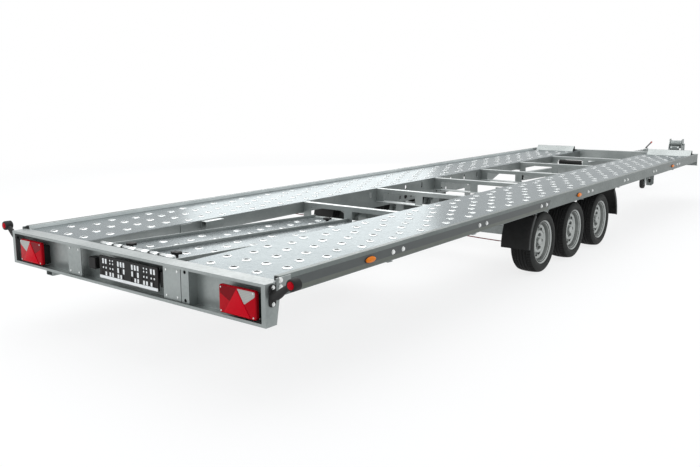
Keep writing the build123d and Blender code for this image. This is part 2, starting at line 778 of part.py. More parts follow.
# Winch: frame on the front beam, drum on its shaft with a crank
winch_x = (front_face, front_face + winch_length)
base_z = rail_top
winch_mid = front_face + winch_length / 2
shaft_height = base_z + winch_shaft_height
winch = block(winch_x, (winch_y - winch_width / 2, winch_y + winch_width / 2), (base_z, base_z + winch_sheet))
winch_top = base_z + winch_height
cheek = [(winch_x[0], base_z), (winch_x[1], base_z), (winch_x[1] - winch_lean[1], winch_top)]
cheek += [(winch_x[0] + winch_lean[0], winch_top)]
for y in (winch_y - winch_width / 2, winch_y + winch_width / 2 - winch_sheet):
    winch += along_y(cheek, y, y + winch_sheet)
bore_line = [(winch_mid, winch_y + side * winch_width, shaft_height) for side in (-1, 1)]
winch -= rod(*bore_line, winch_shaft + fit_gap)
keep("winch_frame", winch)
inner_half = winch_width / 2 - winch_sheet - winch_clear
rim_half = inner_half - winch_rim
drum = [(-inner_half, 0), (-inner_half, winch_flange), (-rim_half, winch_flange), (-rim_half, winch_drum)]
drum += [(rim_half, winch_drum), (rim_half, winch_flange), (inner_half, winch_flange), (inner_half, 0)]
reel = Pos(winch_mid, winch_y, shaft_height) * spun(drum)
crank_near = winch_y - winch_width / 2 - winch_crank_gap
crank_far = winch_y + winch_width / 2 + winch_shaft_end
reel += rod((winch_mid, crank_near, shaft_height), (winch_mid, crank_far, shaft_height), winch_shaft)
crank_x = (winch_mid - crank_half, winch_mid + crank_half)
crank_z = (shaft_height - crank_length, shaft_height + crank_half)
reel += block(crank_x, (crank_near, crank_near + crank_sheet), crank_z)
keep("winch_drum", reel)

# Loading ramps: shallow trays with upturned rims and a hinge tube, lying nose down in the well
ramps = []
knobs = []
tray = [(-ramp_width / 2, ramp_rim), (-ramp_width / 2, 0), (ramp_width / 2, 0), (ramp_width / 2, ramp_rim)]
ramp_nose = members[1] - member_width / 2 - ramp_nose_gap
ramp_drop = ramp_rear_top - tie_top - fit_gap
ramp_run = ramp_nose - ramp_rear
ramp_fall = math.degrees(math.atan2(ramp_drop, ramp_run))
ramp_length = math.hypot(ramp_run, ramp_drop)
tube_x = ramp_tube_bite - ramp_tube
knob_table = {1: knobs_left, -1: knobs_right}
for sign in sides.values():
    ramp = along_x(folded(tray[::-1], ramp_sheet), 0, ramp_length)
    hook_ends = [(tube_x, side * ramp_width / 2, ramp_tube_lift) for side in (-1, 1)]
    ramp += rod(*hook_ends, ramp_tube)
    holes = staggered(grip_pitch / 2, ramp_length - grip_pitch / 2, -ramp_width / 2, ramp_width, ramp_rows)
    room = grip_collar + stem_radius
    free = [hole for hole in holes if all(math.dist(hole, knob) > room for knob in knob_table[sign])]
    ramp = gripped(ramp, free, ramp_sheet, ramp_sheet)
    seat = Pos(ramp_rear, sign * (ramp_width + ramp_gap) / 2, ramp_rear_top) * Rot(0, ramp_fall, 0)
    ramps.append(seat * ramp)
    for x, y in knob_table[sign]:
        stem = rod((x, y, ramp_sheet), (x, y, knob_height), stem_radius)
        stem += rod((x, y, knob_height), (x, y, knob_height + knob_thick), knob_radius)
        for i in range(lobe_count):
            turn = 2 * math.pi * i / lobe_count
            at = (x + knob_radius * math.cos(turn), y + knob_radius * math.sin(turn))
            stem += rod((*at, knob_height), (*at, knob_height + knob_thick), lobe_radius)
        knobs.append(seat * stem)
keep("ramps", *ramps)
keep("ramp_knobs", *knobs)


def rounded_panel(x, width, height, corner):
    """Panel facing rear with rounded corners, between two X limits."""
    face = Plane.YZ.offset(x[0]) * RectangleRounded(width, height, corner)
    return extrude(face, amount=x[1] - x[0], dir=(1, 0, 0))


# Tail lamps: red lens on a black housing, raised triangular reflector
lens_x = (lens_inset, lens_inset + lens_depth)
lens = rounded_panel(lens_x, lamp_width, lamp_height, lens_corner)
shell = rounded_panel((lens_x[1], rear_foot_depth - rear_sheet), lamp_width - 2 * housing_margin,
                      lamp_height - 2 * housing_margin, lens_corner)
triangle = [(-reflector_width / 2, -reflector_height / 2), (reflector_width / 2, -reflector_height / 2)]
triangle += [(0, reflector_height / 2)]
prism = along_x(triangle, lens_inset - reflector_depth, lens_inset)
lamp_seats = [Pos(0, s * lamp_center_y, lamp_center_z) for s in sides.values()]
keep("tail_lenses", *[seat * lens for seat in lamp_seats])
keep("tail_housings", *[seat * shell for seat in lamp_seats])
keep("tail_reflectors", *[seat * prism for seat in lamp_seats])

# Outline marker lamps on rubber arms
root_x = (marker_root_x - marker_plate_length / 2, marker_root_x + marker_plate_length / 2)
root_z = (marker_root_z - marker_plate_height / 2, marker_root_z + marker_plate_height / 2)
plate = block(root_x, (half, half + marker_plate_sheet), root_z)
arm_root = (marker_root_x, half + marker_plate_sheet + 1, marker_root_z)
plate += rod(arm_root, (marker_depth / 2, marker_y, marker_z), marker_arm_radius)
plate += rod((0, marker_y, marker_z), (marker_depth, marker_y, marker_z), marker_radius)
glow = rod((-marker_lens_depth, marker_y, marker_z), (0, marker_y, marker_z), marker_lens)
keep("marker_arms", plate, mirrored(plate))
keep("marker_lenses", glow, mirrored(glow))

# Side marker lamps along both rails
side_lamps = []
for x in [share * deck_length for share in side_lamp_shares]:
    face = Plane.XZ.offset(-half) * Pos(x, side_lamp_z) * Ellipse(side_lamp_length / 2, side_lamp_height / 2)
    lamp = extrude(face, amount=side_lamp_depth, dir=(0, 1, 0))
    side_lamps += [lamp, mirrored(lamp)]
keep("side_lamps", *side_lamps)

# Number plate holder and its lamps
plate_z = (plate_foot, plate_foot + plate_height)
plate_y = (plate_center - plate_width / 2, plate_center + plate_width / 2)
holder = block((plate_inset, plate_inset + plate_thickness), plate_y, plate_z)
slot_x = (plate_inset - 1, plate_inset + plate_thickness + 1)
for column in slot_columns:
    slot_y = plate_center + column * slot_pitch
    for rise, height in slot_rows:
        middle = plate_foot + rise
        slot_z = (middle - height / 2, middle + height / 2)
        holder -= block(slot_x, (slot_y - slot_width / 2, slot_y + slot_width / 2), slot_z)
keep("plate_holder", holder)
lights = []
for y_low, y_high, z_low, z_high in plate_lamps:
    lights.append(block((plate_lamp_inset, rear_foot_depth - rear_sheet), (y_low, y_high), (z_low, z_high)))
keep("plate_lamps", *lights)

# Brake rod to the equaliser, hung from the ties, and a cable to each rear brake
rod_z = tie_bottom - rod_drop
keep("brake_rod", rod((rod_rear - equaliser_depth, 0, rod_z), (drawbar_front, 0, rod_z), rod_radius))
bar_x = (rod_rear - equaliser_depth / 2, rod_rear + equaliser_depth / 2)
bar_z = (rod_z - equaliser_depth / 2, rod_z + equaliser_depth / 2)
equaliser = block(bar_x, (-equaliser_width / 2, equaliser_width / 2), bar_z)
equaliser -= rod((bar_x[0] - 1, 0, rod_z), (bar_x[1] + 1, 0, rod_z), rod_radius + fit_gap)
keep("brake_equaliser", equaliser)
hangers = []
for x in members:
    if rod_rear < x:
        strap_x = (x - rod_hanger / 2, x + rod_hanger / 2)
        strap = block(strap_x, (-strap_half, strap_half), (rod_z - strap_half, tie_bottom))
        strap -= rod((strap_x[0] - 1, 0, rod_z), (strap_x[1] + 1, 0, rod_z), rod_radius + fit_gap)
        hangers.append(strap)
keep("rod_hangers", *hangers)
cable_y = arm_inner + cable_radius
cable_start = (members[1], cable_y, member_bottom - cable_radius)
cable_end = (axles[0] - arm_heel - cable_end_gap, cable_y, wheel_radius - arm_heel + cable_radius * 2)
cable = rod(cable_start, cable_end, cable_radius)
keep("brake_cables", cable, mirrored(cable))

# Cross tube resting on the left drawbar beam
tube_x = members[-1] + cross_tube_ahead
tube_mid = drawbar_top + cross_tube_radius
tube_ends = [(tube_x, y, tube_mid) for y in cross_tube_span]
keep("cross_tube", rod(*tube_ends, cross_tube_radius))

# Hanger plates under the rails at the last but one cross-member, tapered at the foot, with a slot
hanger_x = members[-2] + member_width / 2 + fit_gap
hang_y = (half - hanger_edge_gap - hanger_width, half - hanger_edge_gap)
hang_foot = rail_bottom - hanger_height
hanger_edge = [(hang_y[0], rail_bottom), (hang_y[1], rail_bottom), (hang_y[1], hang_foot + hanger_taper)]
hanger_edge += [(hang_y[1] - hanger_taper, hang_foot), (hang_y[0] + hanger_taper / 2, hang_foot)]
hanger = along_x(hanger_edge, hanger_x, hanger_x + hanger_sheet)
slot_face = Plane.YZ.offset(hanger_x - 1) * Pos(sum(hang_y) / 2, rail_bottom - hanger_height / 2)
slot_face *= RectangleRounded(*hanger_slot, hanger_slot[0] * slot_round)
hanger -= extrude(slot_face, amount=hanger_sheet + 2, dir=(1, 0, 0))
keep("hanger_plates", hanger, mirrored(hanger))

# Ramp latches: a catch plate and a boxed clamp on the left track's inner wall
latch_top = deck_top - deck_sheet * 2
latch_z = (latch_top - latch_height, latch_top)
catch = block(latch_plate, (well_half - latch_sheet, well_half), latch_z)
clamp_box = block(latch_clamp, (well_half - latch_reach, well_half), latch_z)
clamp_inside = (well_half - latch_reach + latch_sheet, well_half - latch_sheet)
clamp_x = (latch_clamp[0] - 1, latch_clamp[1] + 1)
clamp_box -= block(clamp_x, clamp_inside, (latch_z[0] - 1, latch_top - latch_sheet))
keep("ramp_latches", catch, clamp_box)

for name, shape in nodes.items():
    export_step(Pos(-x_middle, 0, 0) * shape, f"parts/{name}.step")
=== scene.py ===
"""Looks of a car carrier trailer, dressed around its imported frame."""

import logging
import math
from collections.abc import Callable, Sequence
from dataclasses import dataclass, field
from enum import Enum, IntEnum

import bmesh
import bpy
import numpy as np
from mathutils import Matrix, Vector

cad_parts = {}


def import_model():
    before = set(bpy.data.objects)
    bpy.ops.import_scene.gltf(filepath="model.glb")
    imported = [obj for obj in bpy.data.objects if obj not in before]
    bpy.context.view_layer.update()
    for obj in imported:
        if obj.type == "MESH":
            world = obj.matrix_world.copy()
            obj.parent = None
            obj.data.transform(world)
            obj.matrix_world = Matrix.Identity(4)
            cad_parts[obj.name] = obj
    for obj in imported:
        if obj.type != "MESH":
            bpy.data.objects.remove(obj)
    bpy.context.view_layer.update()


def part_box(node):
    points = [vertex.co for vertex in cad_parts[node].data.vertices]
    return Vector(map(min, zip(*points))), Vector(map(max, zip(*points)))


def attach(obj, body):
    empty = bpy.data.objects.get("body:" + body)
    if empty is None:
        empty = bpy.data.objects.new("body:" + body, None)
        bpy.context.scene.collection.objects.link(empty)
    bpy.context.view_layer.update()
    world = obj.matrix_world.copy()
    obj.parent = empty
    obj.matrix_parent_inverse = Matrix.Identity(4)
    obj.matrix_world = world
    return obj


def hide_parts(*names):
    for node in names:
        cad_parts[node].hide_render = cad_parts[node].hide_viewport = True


log = logging.getLogger("car_carrier")
MM = 0.001
TAU = math.tau
CHASSIS = "chassis"
AXLES = (1, 2, 3)
BACK = (-1.0, 0.0, 0.0)
# Distance below which two points of a mesh are one, for new pieces and for copies of nodes, in metres
WELD, NODE_WELD = 1e-6, 1e-5
# Share of a run that the rounding of a corner beside it may take up
CORNER_SHARE = 0.45
# Thickness of the deck's sheet, in metres
DECK_SHEET = 3 * MM
Socket = bpy.types.NodeSocket
Tree = bpy.types.NodeTree
Inputs = dict[int | str, object]
Point = np.ndarray | Sequence[float]
Table = tuple[tuple[float, ...], ...]
Levels = Sequence[tuple[float, float]]
Seat = Callable[[np.ndarray], np.ndarray]


class Side(Enum):
    """Side of the trailer, with the sign of its Y."""

    LEFT = 1
    RIGHT = -1

    @property
    def word(self) -> str:
        """Name of the side as the frame's nodes spell it."""
        return self.name.lower()


class Corner(Enum):
    """How a mesh shades its edges, as the angle in degrees that stays sharp."""

    CRISP = 28.0
    SOFT = 50.0
    ROUND = 80.0


def linear(code: str) -> tuple[float, float, float, float]:
    """Linear colour of an sRGB hex value.

    Args:
        code: Hex value such as "#a9adad".

    Returns:
        Red, green, blue and alpha.
    """
    parts = np.array([int(code[i : i + 2], 16) for i in (1, 3, 5)]) / 255
    shades = np.where(parts <= 0.04045, parts / 12.92, ((parts + 0.055) / 1.055) ** 2.4)
    return (*shades.tolist(), 1.0)


def scale(size_mm: float) -> float:
    """Scale of a pattern whose features are a size in millimetres."""
    return 1 / (size_mm * MM)


def blank(block: bpy.types.ID) -> Tree:
    """Emptied node tree of a new material or world."""
    block.use_nodes = True
    block.node_tree.nodes.clear()
    return block.node_tree


def add_node(tree: Tree, kind: str, inputs: Inputs, output: int | str = 0, **settings: object) -> Socket | None:
    """Add a shader node with its settings and links.

    Args:
        tree: Node tree that takes it.
        kind: Blender's name of the node type, without the prefix that all of them share.
        inputs: Socket name or index to a value, or to an output socket to link.
        output: Name or index of the output that is asked for.
        settings: Properties of the node.

    Returns:
        That output, or none on a node without outputs.
    """
    node = tree.nodes.new(f"ShaderNode{kind}")
    for name, value in settings.items():
        setattr(node, name, value)
    for name, value in inputs.items():
        if isinstance(value, Socket):
            tree.links.new(value, node.inputs[name])
        else:
            node.inputs[name].default_value = value
    return node.outputs[output] if node.outputs else None


@dataclass(frozen=True)
class Finish:
    """A surface finish that makes one material.

    Attributes:
        name: Name of the real material.
        slot: Name of the material slot; not used.
        color: Main colour, sRGB hex.
        shade: Second colour that the pattern mixes in.
        roughness: Mean roughness.
    """

    name: str
    slot: str
    color: str
    shade: str
    roughness: float

    def material(self) -> bpy.types.Material:
        """The finish's material, made on first use.

        Returns:
            The material.
        """
        material = bpy.data.materials.get(self.name)
        if material is None:
            material = bpy.data.materials.new(self.name)
            tree = blank(material)
            place = add_node(tree, "TexCoord", {}, "Object")
            shader = add_node(tree, "BsdfPrincipled", self.paint(tree, place))
            add_node(tree, "OutputMaterial", {"Surface": shader})
        return material

    def paint(self, tree: Tree, place: Socket) -> Inputs:
        """Inputs of the shader, each kind of finish in its own way.

        Args:
            tree: Material's node tree.
            place: Object coordinates.

        Returns:
            Name of each input to its value or socket.
        """
        raise NotImplementedError

    def mixed(self, tree: Tree, share: Socket) -> Socket:
        """Main colour with a share of the shade."""
        return add_node(tree, "Mix", {0: share, 6: linear(self.color), 7: linear(self.shade)}, 2, data_type="RGBA")


@dataclass(frozen=True)
class ZincFinish(Finish):
    """Zinc on steel: crystals a few millimetres wide in slightly different greys, under soft clouds.

    Attributes:
        spangle_mm: Width of a zinc crystal, drawn coarse enough to show.
        stain_mm: Size of the cloudy stains.
        spread: How far the roughness varies from crystal to crystal.
        metallic: Share of bare metal, the rest being dull oxide.
        edge: Tint of the metal seen at a low angle, dulled by oxide.
        wave: Share of the bump that shows.
        contrast: How far the crystals differ in grey.
        shelter: Tint multiplied into the zinc on upright and downward faces: painted shade.
        clouds: Share of the shade between and inside the stains.
        slopes: Upward part of the normal on a face in full painted shade and on a face with none.
        wave_cells: Length of a wave in the sheet, in crystals.
        wave_mm: Depth of a wave.
    """

    spangle_mm: float = 14.0
    stain_mm: float = 260.0
    spread: float = 0.05
    metallic: float = 0.7
    edge: str = "#ffffff"
    wave: float = 0.08
    contrast: float = 0.2
    shelter: str = "#ffffff"
    clouds: tuple[float, float] = (-0.1, 0.75)
    slopes: tuple[float, float] = (-0.3, 0.9)
    wave_cells: float = 4.0
    wave_mm: float = 0.5

    def paint(self, tree: Tree, place: Socket) -> Inputs:
        """Mix two greys by crystal and by cloud, paint shade on upright and downward faces, and let the crystals
        differ in gloss.

        Args:
            tree: Material's node tree.
            place: Object coordinates.

        Returns:
            Name of each input to its value or socket.
        """
        cells = add_node(tree, "TexVoronoi", {"Vector": place, "Scale": scale(self.spangle_mm)}, "Color")
        crystal = add_node(tree, "SeparateColor", {0: cells})
        grains = add_node(tree, "MapRange", {"Value": crystal, "To Max": self.contrast})
        cloud = add_node(tree, "TexNoise", {"Vector": place, "Scale": scale(self.stain_mm), "Detail": 5.0})
        reach = {"From Min": 0.3, "From Max": 0.7, "To Min": self.clouds[0], "To Max": self.clouds[1]}
        stains = add_node(tree, "MapRange", {"Value": cloud, **reach})
        greys = self.mixed(tree, add_node(tree, "Math", {0: grains, 1: stains}, use_clamp=True))
        # Painted shade: the colour is multiplied by the shade tint, more the less a face looks upward
        upward = add_node(tree, "SeparateXYZ", {0: add_node(tree, "TexCoord", {}, "Normal")}, "Z")
        reach = {"From Min": self.slopes[0], "From Max": self.slopes[1], "To Min": 1.0, "To Max": 0.0}
        layers = {0: add_node(tree, "MapRange", {"Value": upward, **reach}), 6: greys, 7: linear(self.shelter)}
        reach = {"To Min": self.roughness - self.spread, "To Max": self.roughness + self.spread}
        length = self.spangle_mm * self.wave_cells
        waves = add_node(tree, "TexNoise", {"Vector": place, "Scale": scale(length), "Detail": 3.0})
        bump = {"Height": waves, "Distance": self.wave_mm * MM, "Strength": self.wave}
        return {
            "Base Color": add_node(tree, "Mix", layers, 2, data_type="RGBA", blend_type="MULTIPLY"),
            "Roughness": add_node(tree, "MapRange", {"Value": crystal, **reach}),
            "Metallic": self.metallic,
            "Specular Tint": linear(self.edge),
            "Normal": add_node(tree, "Bump", bump),
        }


@dataclass(frozen=True)
class SoiledFinish(Finish):
    """Finish without bare zinc: an even colour with a fine relief, and dirt in patches where it is rougher.

    Attributes:
        metallic: Share of metal flake.
        patch_mm: Size of a patch.
        dirt: Share of the shade inside a patch.
        reach: Values of the noise at a patch's rim and inside it.
        rougher: How much rougher a patch is.
        gloss: Level of the surface's reflection.
        relief_mm: Width of the relief.
        depth_mm: Depth of the relief.
        strength: Share of the relief that shows.
    """

    metallic: float = 0.0
    patch_mm: float = 70.0
    dirt: float = 0.7
    reach: tuple[float, float] = (0.42, 0.75)
    rougher: float = 0.15
    gloss: float = 0.35
    relief_mm: float = 5.0
    depth_mm: float = 0.15
    strength: float = 0.2

    def paint(self, tree: Tree, place: Socket) -> Inputs:
        """Mix dirt into the colour, roughen it there and emboss the relief.

        Args:
            tree: Material's node tree.
            place: Object coordinates.

        Returns:
            Name of each input to its value or socket.
        """
        noise = add_node(tree, "TexNoise", {"Vector": place, "Scale": scale(self.patch_mm), "Detail": 6.0})
        reach = {"From Min": self.reach[0], "From Max": self.reach[1], "To Max": self.dirt}
        dirt = add_node(tree, "MapRange", {"Value": noise, **reach})
        reach = {"To Min": self.roughness, "To Max": self.roughness + self.rougher}
        bump = {"Height": self.relief(tree, place), "Distance": self.depth_mm * MM, "Strength": self.strength}
        return {
            "Base Color": self.mixed(tree, dirt),
            "Roughness": add_node(tree, "MapRange", {"Value": dirt, **reach}),
            "Metallic": self.metallic,
            "Specular IOR Level": self.gloss,
            "Normal": add_node(tree, "Bump", bump),
        }

    def relief(self, tree: Tree, place: Socket) -> Socket:
        """Height of the relief, each kind of finish in its own way."""
        raise NotImplementedError


@dataclass(frozen=True)
class PaintFinish(SoiledFinish):
    """Sprayed paint or vinyl film: an even colour with fine orange peel and a little dirt."""

    def relief(self, tree: Tree, place: Socket) -> Socket:
        """Orange peel as a soft noise."""
        return add_node(tree, "TexNoise", {"Vector": place, "Scale": scale(self.relief_mm), "Detail": 3.0})


@dataclass(frozen=True)
class MouldedFinish(SoiledFinish):
    """Moulded rubber or plastic: dull, with a leathery grain and dust in patches."""

    patch_mm: float = 45.0
    dirt: float = 0.8
    reach: tuple[float, float] = (0.4, 0.72)
    rougher: float = 0.2
    gloss: float = 0.25
    relief_mm: float = 2.5
    depth_mm: float = 0.25
    strength: float = 0.35

    def relief(self, tree: Tree, place: Socket) -> Socket:
        """Mould's grain as the distance to the middle of a cell."""
        return add_node(tree, "TexVoronoi", {"Vector": place, "Scale": scale(self.relief_mm)}, "Distance")


@dataclass(frozen=True)
class LensFinish(Finish):
    """Acrylic lamp lens: smooth outside, over a square grid of prisms that break up the colour.

    Attributes:
        prism_mm: Width of a prism, drawn coarse enough to show.
        prism_depth_mm: Depth of a prism.
        strength: Share of that depth that shows.
        gloss: Level of the surface's own reflection.
        ior: Acrylic's index of refraction.
    """

    prism_mm: float = 6.0
    prism_depth_mm: float = 0.6
    strength: float = 0.3
    gloss: float = 0.15
    ior: float = 1.49

    def paint(self, tree: Tree, place: Socket) -> Inputs:
        """Tint each prism a little and raise it.

        Args:
            tree: Material's node tree.
            place: Object coordinates.

        Returns:
            Name of each input to its value or socket.
        """
        grid = {"Vector": place, "Scale": scale(self.prism_mm), "Randomness": 0.0}
        prisms = add_node(tree, "TexVoronoi", grid, "Distance", distance="CHEBYCHEV")
        tint = add_node(tree, "MapRange", {"Value": prisms, "From Min": 0.1, "From Max": 0.5, "To Max": 0.8})
        bump = {"Height": prisms, "Distance": self.prism_depth_mm * MM, "Strength": self.strength}
        return {
            "Base Color": self.mixed(tree, tint),
            "Roughness": self.roughness,
            "IOR": self.ior,
            "Specular IOR Level": self.gloss,
            "Normal": add_node(tree, "Bump", bump),
        }


class Finishes:
    """Every finish on the trailer."""

    # Galvanised cross-members and beams: pale grey with soft clouds, and painted shade that darkens their upright and
    # downward faces
    FRAME = ZincFinish(
        "galvanised_frame_steel", "galvanised_steel", "#d2d7d6", "#b4bab9", 0.38, shelter="#8f9291"
    )
    # Rear lamp frame: the same zinc with larger, calmer clouds, and a faint painted shade on its upright and downward
    # faces
    REAR = ZincFinish(
        "galvanised_rear_frame", "galvanised_steel", "#a9aead", "#909695", 0.4, stain_mm=340.0, shelter="#e4e6e5"
    )
    # Rolled rails: zinc in a darker even grey, painted shade for their outward faces
    RAIL = ZincFinish("galvanised_rail_steel", "galvanised_steel", "#737a78", "#646b69", 0.4, spangle_mm=10.0)
    # Rails' inner lips: the same steel in a pale grey, a painted highlight
    RUBBED = ZincFinish("galvanised_rail_lip", "galvanised_steel", "#e4e9e8", "#cdd3d2", 0.35, spangle_mm=10.0)
    # Deck sheet: bright zinc, smooth enough to mirror broad patches, duller at a low angle
    DECK = ZincFinish(
        "galvanised_deck_sheet", "deck_steel", "#b2b7b8", "#a1a6a8", 0.25, spangle_mm=18.0, stain_mm=700.0,
        spread=0.015, metallic=0.85, edge="#b4b9ba", wave=0.012, contrast=0.12,
    )
    # Ramp trays: older zinc, darker than the deck
    RAMP = ZincFinish(
        "galvanised_ramp_sheet", "deck_steel", "#b4b9ba", "#9ea4a6", 0.28, spangle_mm=16.0, spread=0.02,
        metallic=0.85, edge="#b4b8b9", wave=0.015, contrast=0.12,
    )
    # Collars of the grip holes and hook tubes: zinc in a paler grey, a painted highlight
    BURNISHED = ZincFinish(
        "burnished_zinc", "deck_steel", "#e2e6e6", "#d0d5d5", 0.22, spangle_mm=9.0, metallic=0.9, wave=0.02,
        contrast=0.1,
    )
    # Wall of a hole and core of a hook tube: dark and dull, painted shade inside holes and slots
    PUNCHED = ZincFinish(
        "punched_steel_edge", "deck_steel", "#3a3f40", "#2c3031", 0.6, spangle_mm=4.0, metallic=0.5
    )
    # Wheel stops: freshly dipped zinc, paler than the rest, with painted shade on their upright and downward faces
    FRESH = ZincFinish(
        "fresh_zinc_sheet", "deck_steel", "#aeb3b2", "#9ba09f", 0.32, spangle_mm=9.0, shelter="#8f9291"
    )
    # Small fasteners: bright zinc plate
    BOLT = ZincFinish(
        "zinc_plated_fasteners", "galvanised_steel", "#f0f2f1", "#d2d5d4", 0.22, spangle_mm=4.0, metallic=1.0
    )
    # Coupling: zinc plated casting, grainy
    CAST = ZincFinish("zinc_plated_casting", "cast_coupling", "#8c9191", "#6a7070", 0.5, spangle_mm=5.0, wave=0.25)
    # Wheels: silver paint with fine metal flake
    WHEEL = PaintFinish("silver_wheel_paint", "wheel_steel", "#adb1af", "#959896", 0.3, metallic=0.85, dirt=0.5)
    # Rim's inner wall and wheel bolts: the same paint, darker, as painted shade in the dish
    DUSTY = PaintFinish("dusty_wheel_paint", "wheel_steel", "#707371", "#5c5f5d", 0.45, metallic=0.7)
    # Brake drums: dark iron; the rim's inner side, the disc's back and the vent walls take the same colour as painted
    # shade
    DRUM = PaintFinish("dirty_iron_drum", "wheel_steel", "#3c3d3c", "#515150", 0.7)
    # Brake lever and coupling handle: black enamel
    LEVER = PaintFinish("black_lever_paint", "black_paint", "#1c1d1e", "#3a3a39", 0.4)
    # Brake lever's grip: red plastic sleeve
    GRIP = PaintFinish("red_lever_grip", "black_paint", "#c5473a", "#9d352b", 0.45)
    # Rail film: dark grey vinyl over a paler band, flat and even
    STRIPE = PaintFinish("dark_grey_vinyl_stripe", "galvanised_steel", "#4d5150", "#595d5c", 0.45, dirt=0.4)
    BAND = PaintFinish("light_grey_vinyl_band", "galvanised_steel", "#62665f", "#575b55", 0.45, dirt=0.4)
    # Number plate holder's strip: white plastic; the same white on the panes in its lattice is painted light
    PLATE_STRIP = PaintFinish("white_plate_strip", "black_plastic", "#e6e8e8", "#d2d5d5", 0.4, dirt=0.4)
    # Tyres: carbon black rubber, dusty grey on the sidewalls and darker on the tread
    TYRE = MouldedFinish("tyre_sidewall_rubber", "tyre_rubber", "#2b2c2b", "#3a3b39", 0.7, relief_mm=3.0)
    TREAD = MouldedFinish("tyre_tread_rubber", "tyre_rubber", "#1a1a1a", "#272726", 0.75, relief_mm=3.0)
    # Guards and lamp bodies: polypropylene with a fine mould grain
    PLASTIC = MouldedFinish("black_moulded_plastic", "black_plastic", "#161616", "#232322", 0.5)
    # Guards' outer lips: the same plastic, scuffed to grey
    SCUFFED = MouldedFinish("scuffed_black_plastic", "black_plastic", "#464746", "#3a3b3a", 0.6)
    # Lamp arms, bellows, jockey wheel and pads: black rubber
    RUBBER = MouldedFinish("black_moulded_rubber", "black_rubber", "#1f1f1f", "#313130", 0.62)
    # Brake cables: dark red plastic sheath
    CABLE = MouldedFinish("dark_red_cable_sheath", "red_cable", "#8c2f34", "#6c2428", 0.5, relief_mm=6.0)
    # Lamp lenses: coloured acrylic over small prisms
    RED = LensFinish("red_acrylic_lens", "red_lens", "#b9061a", "#920513", 0.15, gloss=0.06)
    REFLECTOR = LensFinish(
        "red_reflector_acrylic", "red_lens", "#cb0a20", "#b0081a", 0.18, prism_mm=4.5, gloss=0.06
    )
    DEEP = LensFinish("dark_red_acrylic_lens", "red_lens", "#870a16", "#5c070f", 0.15, gloss=0.08)
    CLEAR = LensFinish("clear_acrylic_lens", "red_lens", "#b5b5b0", "#8c8c88", 0.15, prism_mm=8.0)
    AMBER = LensFinish("amber_acrylic_lens", "amber_lens", "#f08a1a", "#cf650a", 0.15, prism_mm=5.0)


def turned(profile: Point, steps: int, center: Point, sign: float = 1.0) -> np.ndarray:
    """Surface of revolution about a line along Y.

    Each point of the profile keeps its offset along Y and goes round the line at its radius.

    Args:
        profile: Offset along Y and radius, one row per point.
        steps: Points round the circle.
        center: Middle of the line.
        sign: Side that offsets count towards.

    Returns:
        Grid of points, one row per step round.
    """
    turn = np.linspace(0, TAU, steps, endpoint=False)[:, None]
    offset, radius = np.asarray(profile).T[:, None]
    surface = np.stack([radius * np.sin(turn), sign * offset + 0 * turn, radius * np.cos(turn)], axis=-1)
    return surface + np.asarray(center)


def rounded(points: Point, radius: float, steps: int = 4, closed: bool = False) -> np.ndarray:
    """Run of points with each corner turned into a curve.

    A corner becomes a quadratic curve from a point before it to a point after it, at most a radius away.

    Args:
        points: Corners, in two or three coordinates.
        radius: Reach of the curve along both runs.
        steps: Spans in each curve.
        closed: Whether the run returns to its start.

    Returns:
        Points of the rounded run.
    """
    points = np.asarray(points, float)
    ends = []
    for shift in (1, -1):
        run = np.roll(points, shift, 0) - points
        length = np.linalg.norm(run, axis=1, keepdims=True)
        ends.append(points + run / np.maximum(length, WELD) * np.minimum(radius, length * CORNER_SHARE))
    start, stop = ends
    t = np.linspace(0, 1, steps + 1)[None, :, None]
    curve = start[:, None] * (1 - t) ** 2 + points[:, None] * 2 * t * (1 - t) + stop[:, None] * t**2
    if closed:
        return curve.reshape(-1, points.shape[1])
    inner = curve[1:-1].reshape(-1, points.shape[1])
    return np.vstack([points[:1], inner, points[-1:]])


def tube(path: Point, radius: float | np.ndarray, sides: int = 10) -> np.ndarray:
    """Round tube along a path.

    Each point carries a circle across the path's direction there.

    Args:
        path: Points of the path.
        radius: Tube's radius, one value or one per point.
        sides: Points round the circle.

    Returns:
        Grid of points, one row per point of the path.
    """
    path = np.asarray(path, float)
    along = np.gradient(path, axis=0)
    along /= np.linalg.norm(along, axis=1, keepdims=True)
    guide = np.eye(3)[np.argmin(np.abs(along).max(axis=0))]
    across = np.cross(along, guide)
    across /= np.linalg.norm(across, axis=1, keepdims=True)
    other = np.cross(along, across)
    turn = np.linspace(0, TAU, sides, endpoint=False)[None, :, None]
    ring = across[:, None] * np.cos(turn) + other[:, None] * np.sin(turn)
    return path[:, None] + ring * np.broadcast_to(radius, len(path))[:, None, None]


def polygon(sides: int, width: float) -> np.ndarray:
    """Closed regular outline about its middle, of a width across corners."""
    turn = np.linspace(0, TAU, sides, endpoint=False)
    return np.column_stack([np.cos(turn), np.sin(turn)]) * width / 2


def rounded_rectangle(width: float, height: float, corner: float, steps: int = 4) -> np.ndarray:
    """Closed outline of a rectangle with rounded corners about its middle."""
    corners = np.array([(-1, -1), (1, -1), (1, 1), (-1, 1)]) * (width / 2, height / 2)
    return rounded(corners, corner, steps, closed=True)


def extruded(outline: Point, heights: Sequence[float]) -> np.ndarray:
    """Flat outline repeated at each height, as a grid with one row per height."""
    return np.array([np.column_stack([outline, np.full(len(outline), height)]) for height in heights])


def facing(normal: Point, up: Point = (0, 0, 1)) -> np.ndarray:
    """Axes of a piece that looks along a normal: across, upward and outward as columns.

    Args:
        normal: Outward direction.
        up: Rough upward direction.

    Returns:
        Three axes as columns.
    """
    out = np.asarray(normal, float) / np.linalg.norm(normal)
    across = np.cross(up, out)
    across /= np.linalg.norm(across)
    return np.column_stack([across, np.cross(out, across), out])


def placed(surface: np.ndarray, origin: Point, axes: np.ndarray) -> np.ndarray:
    """Move a grid of local points to an origin, its coordinates along three axes."""
    return surface @ axes.T + np.asarray(origin)


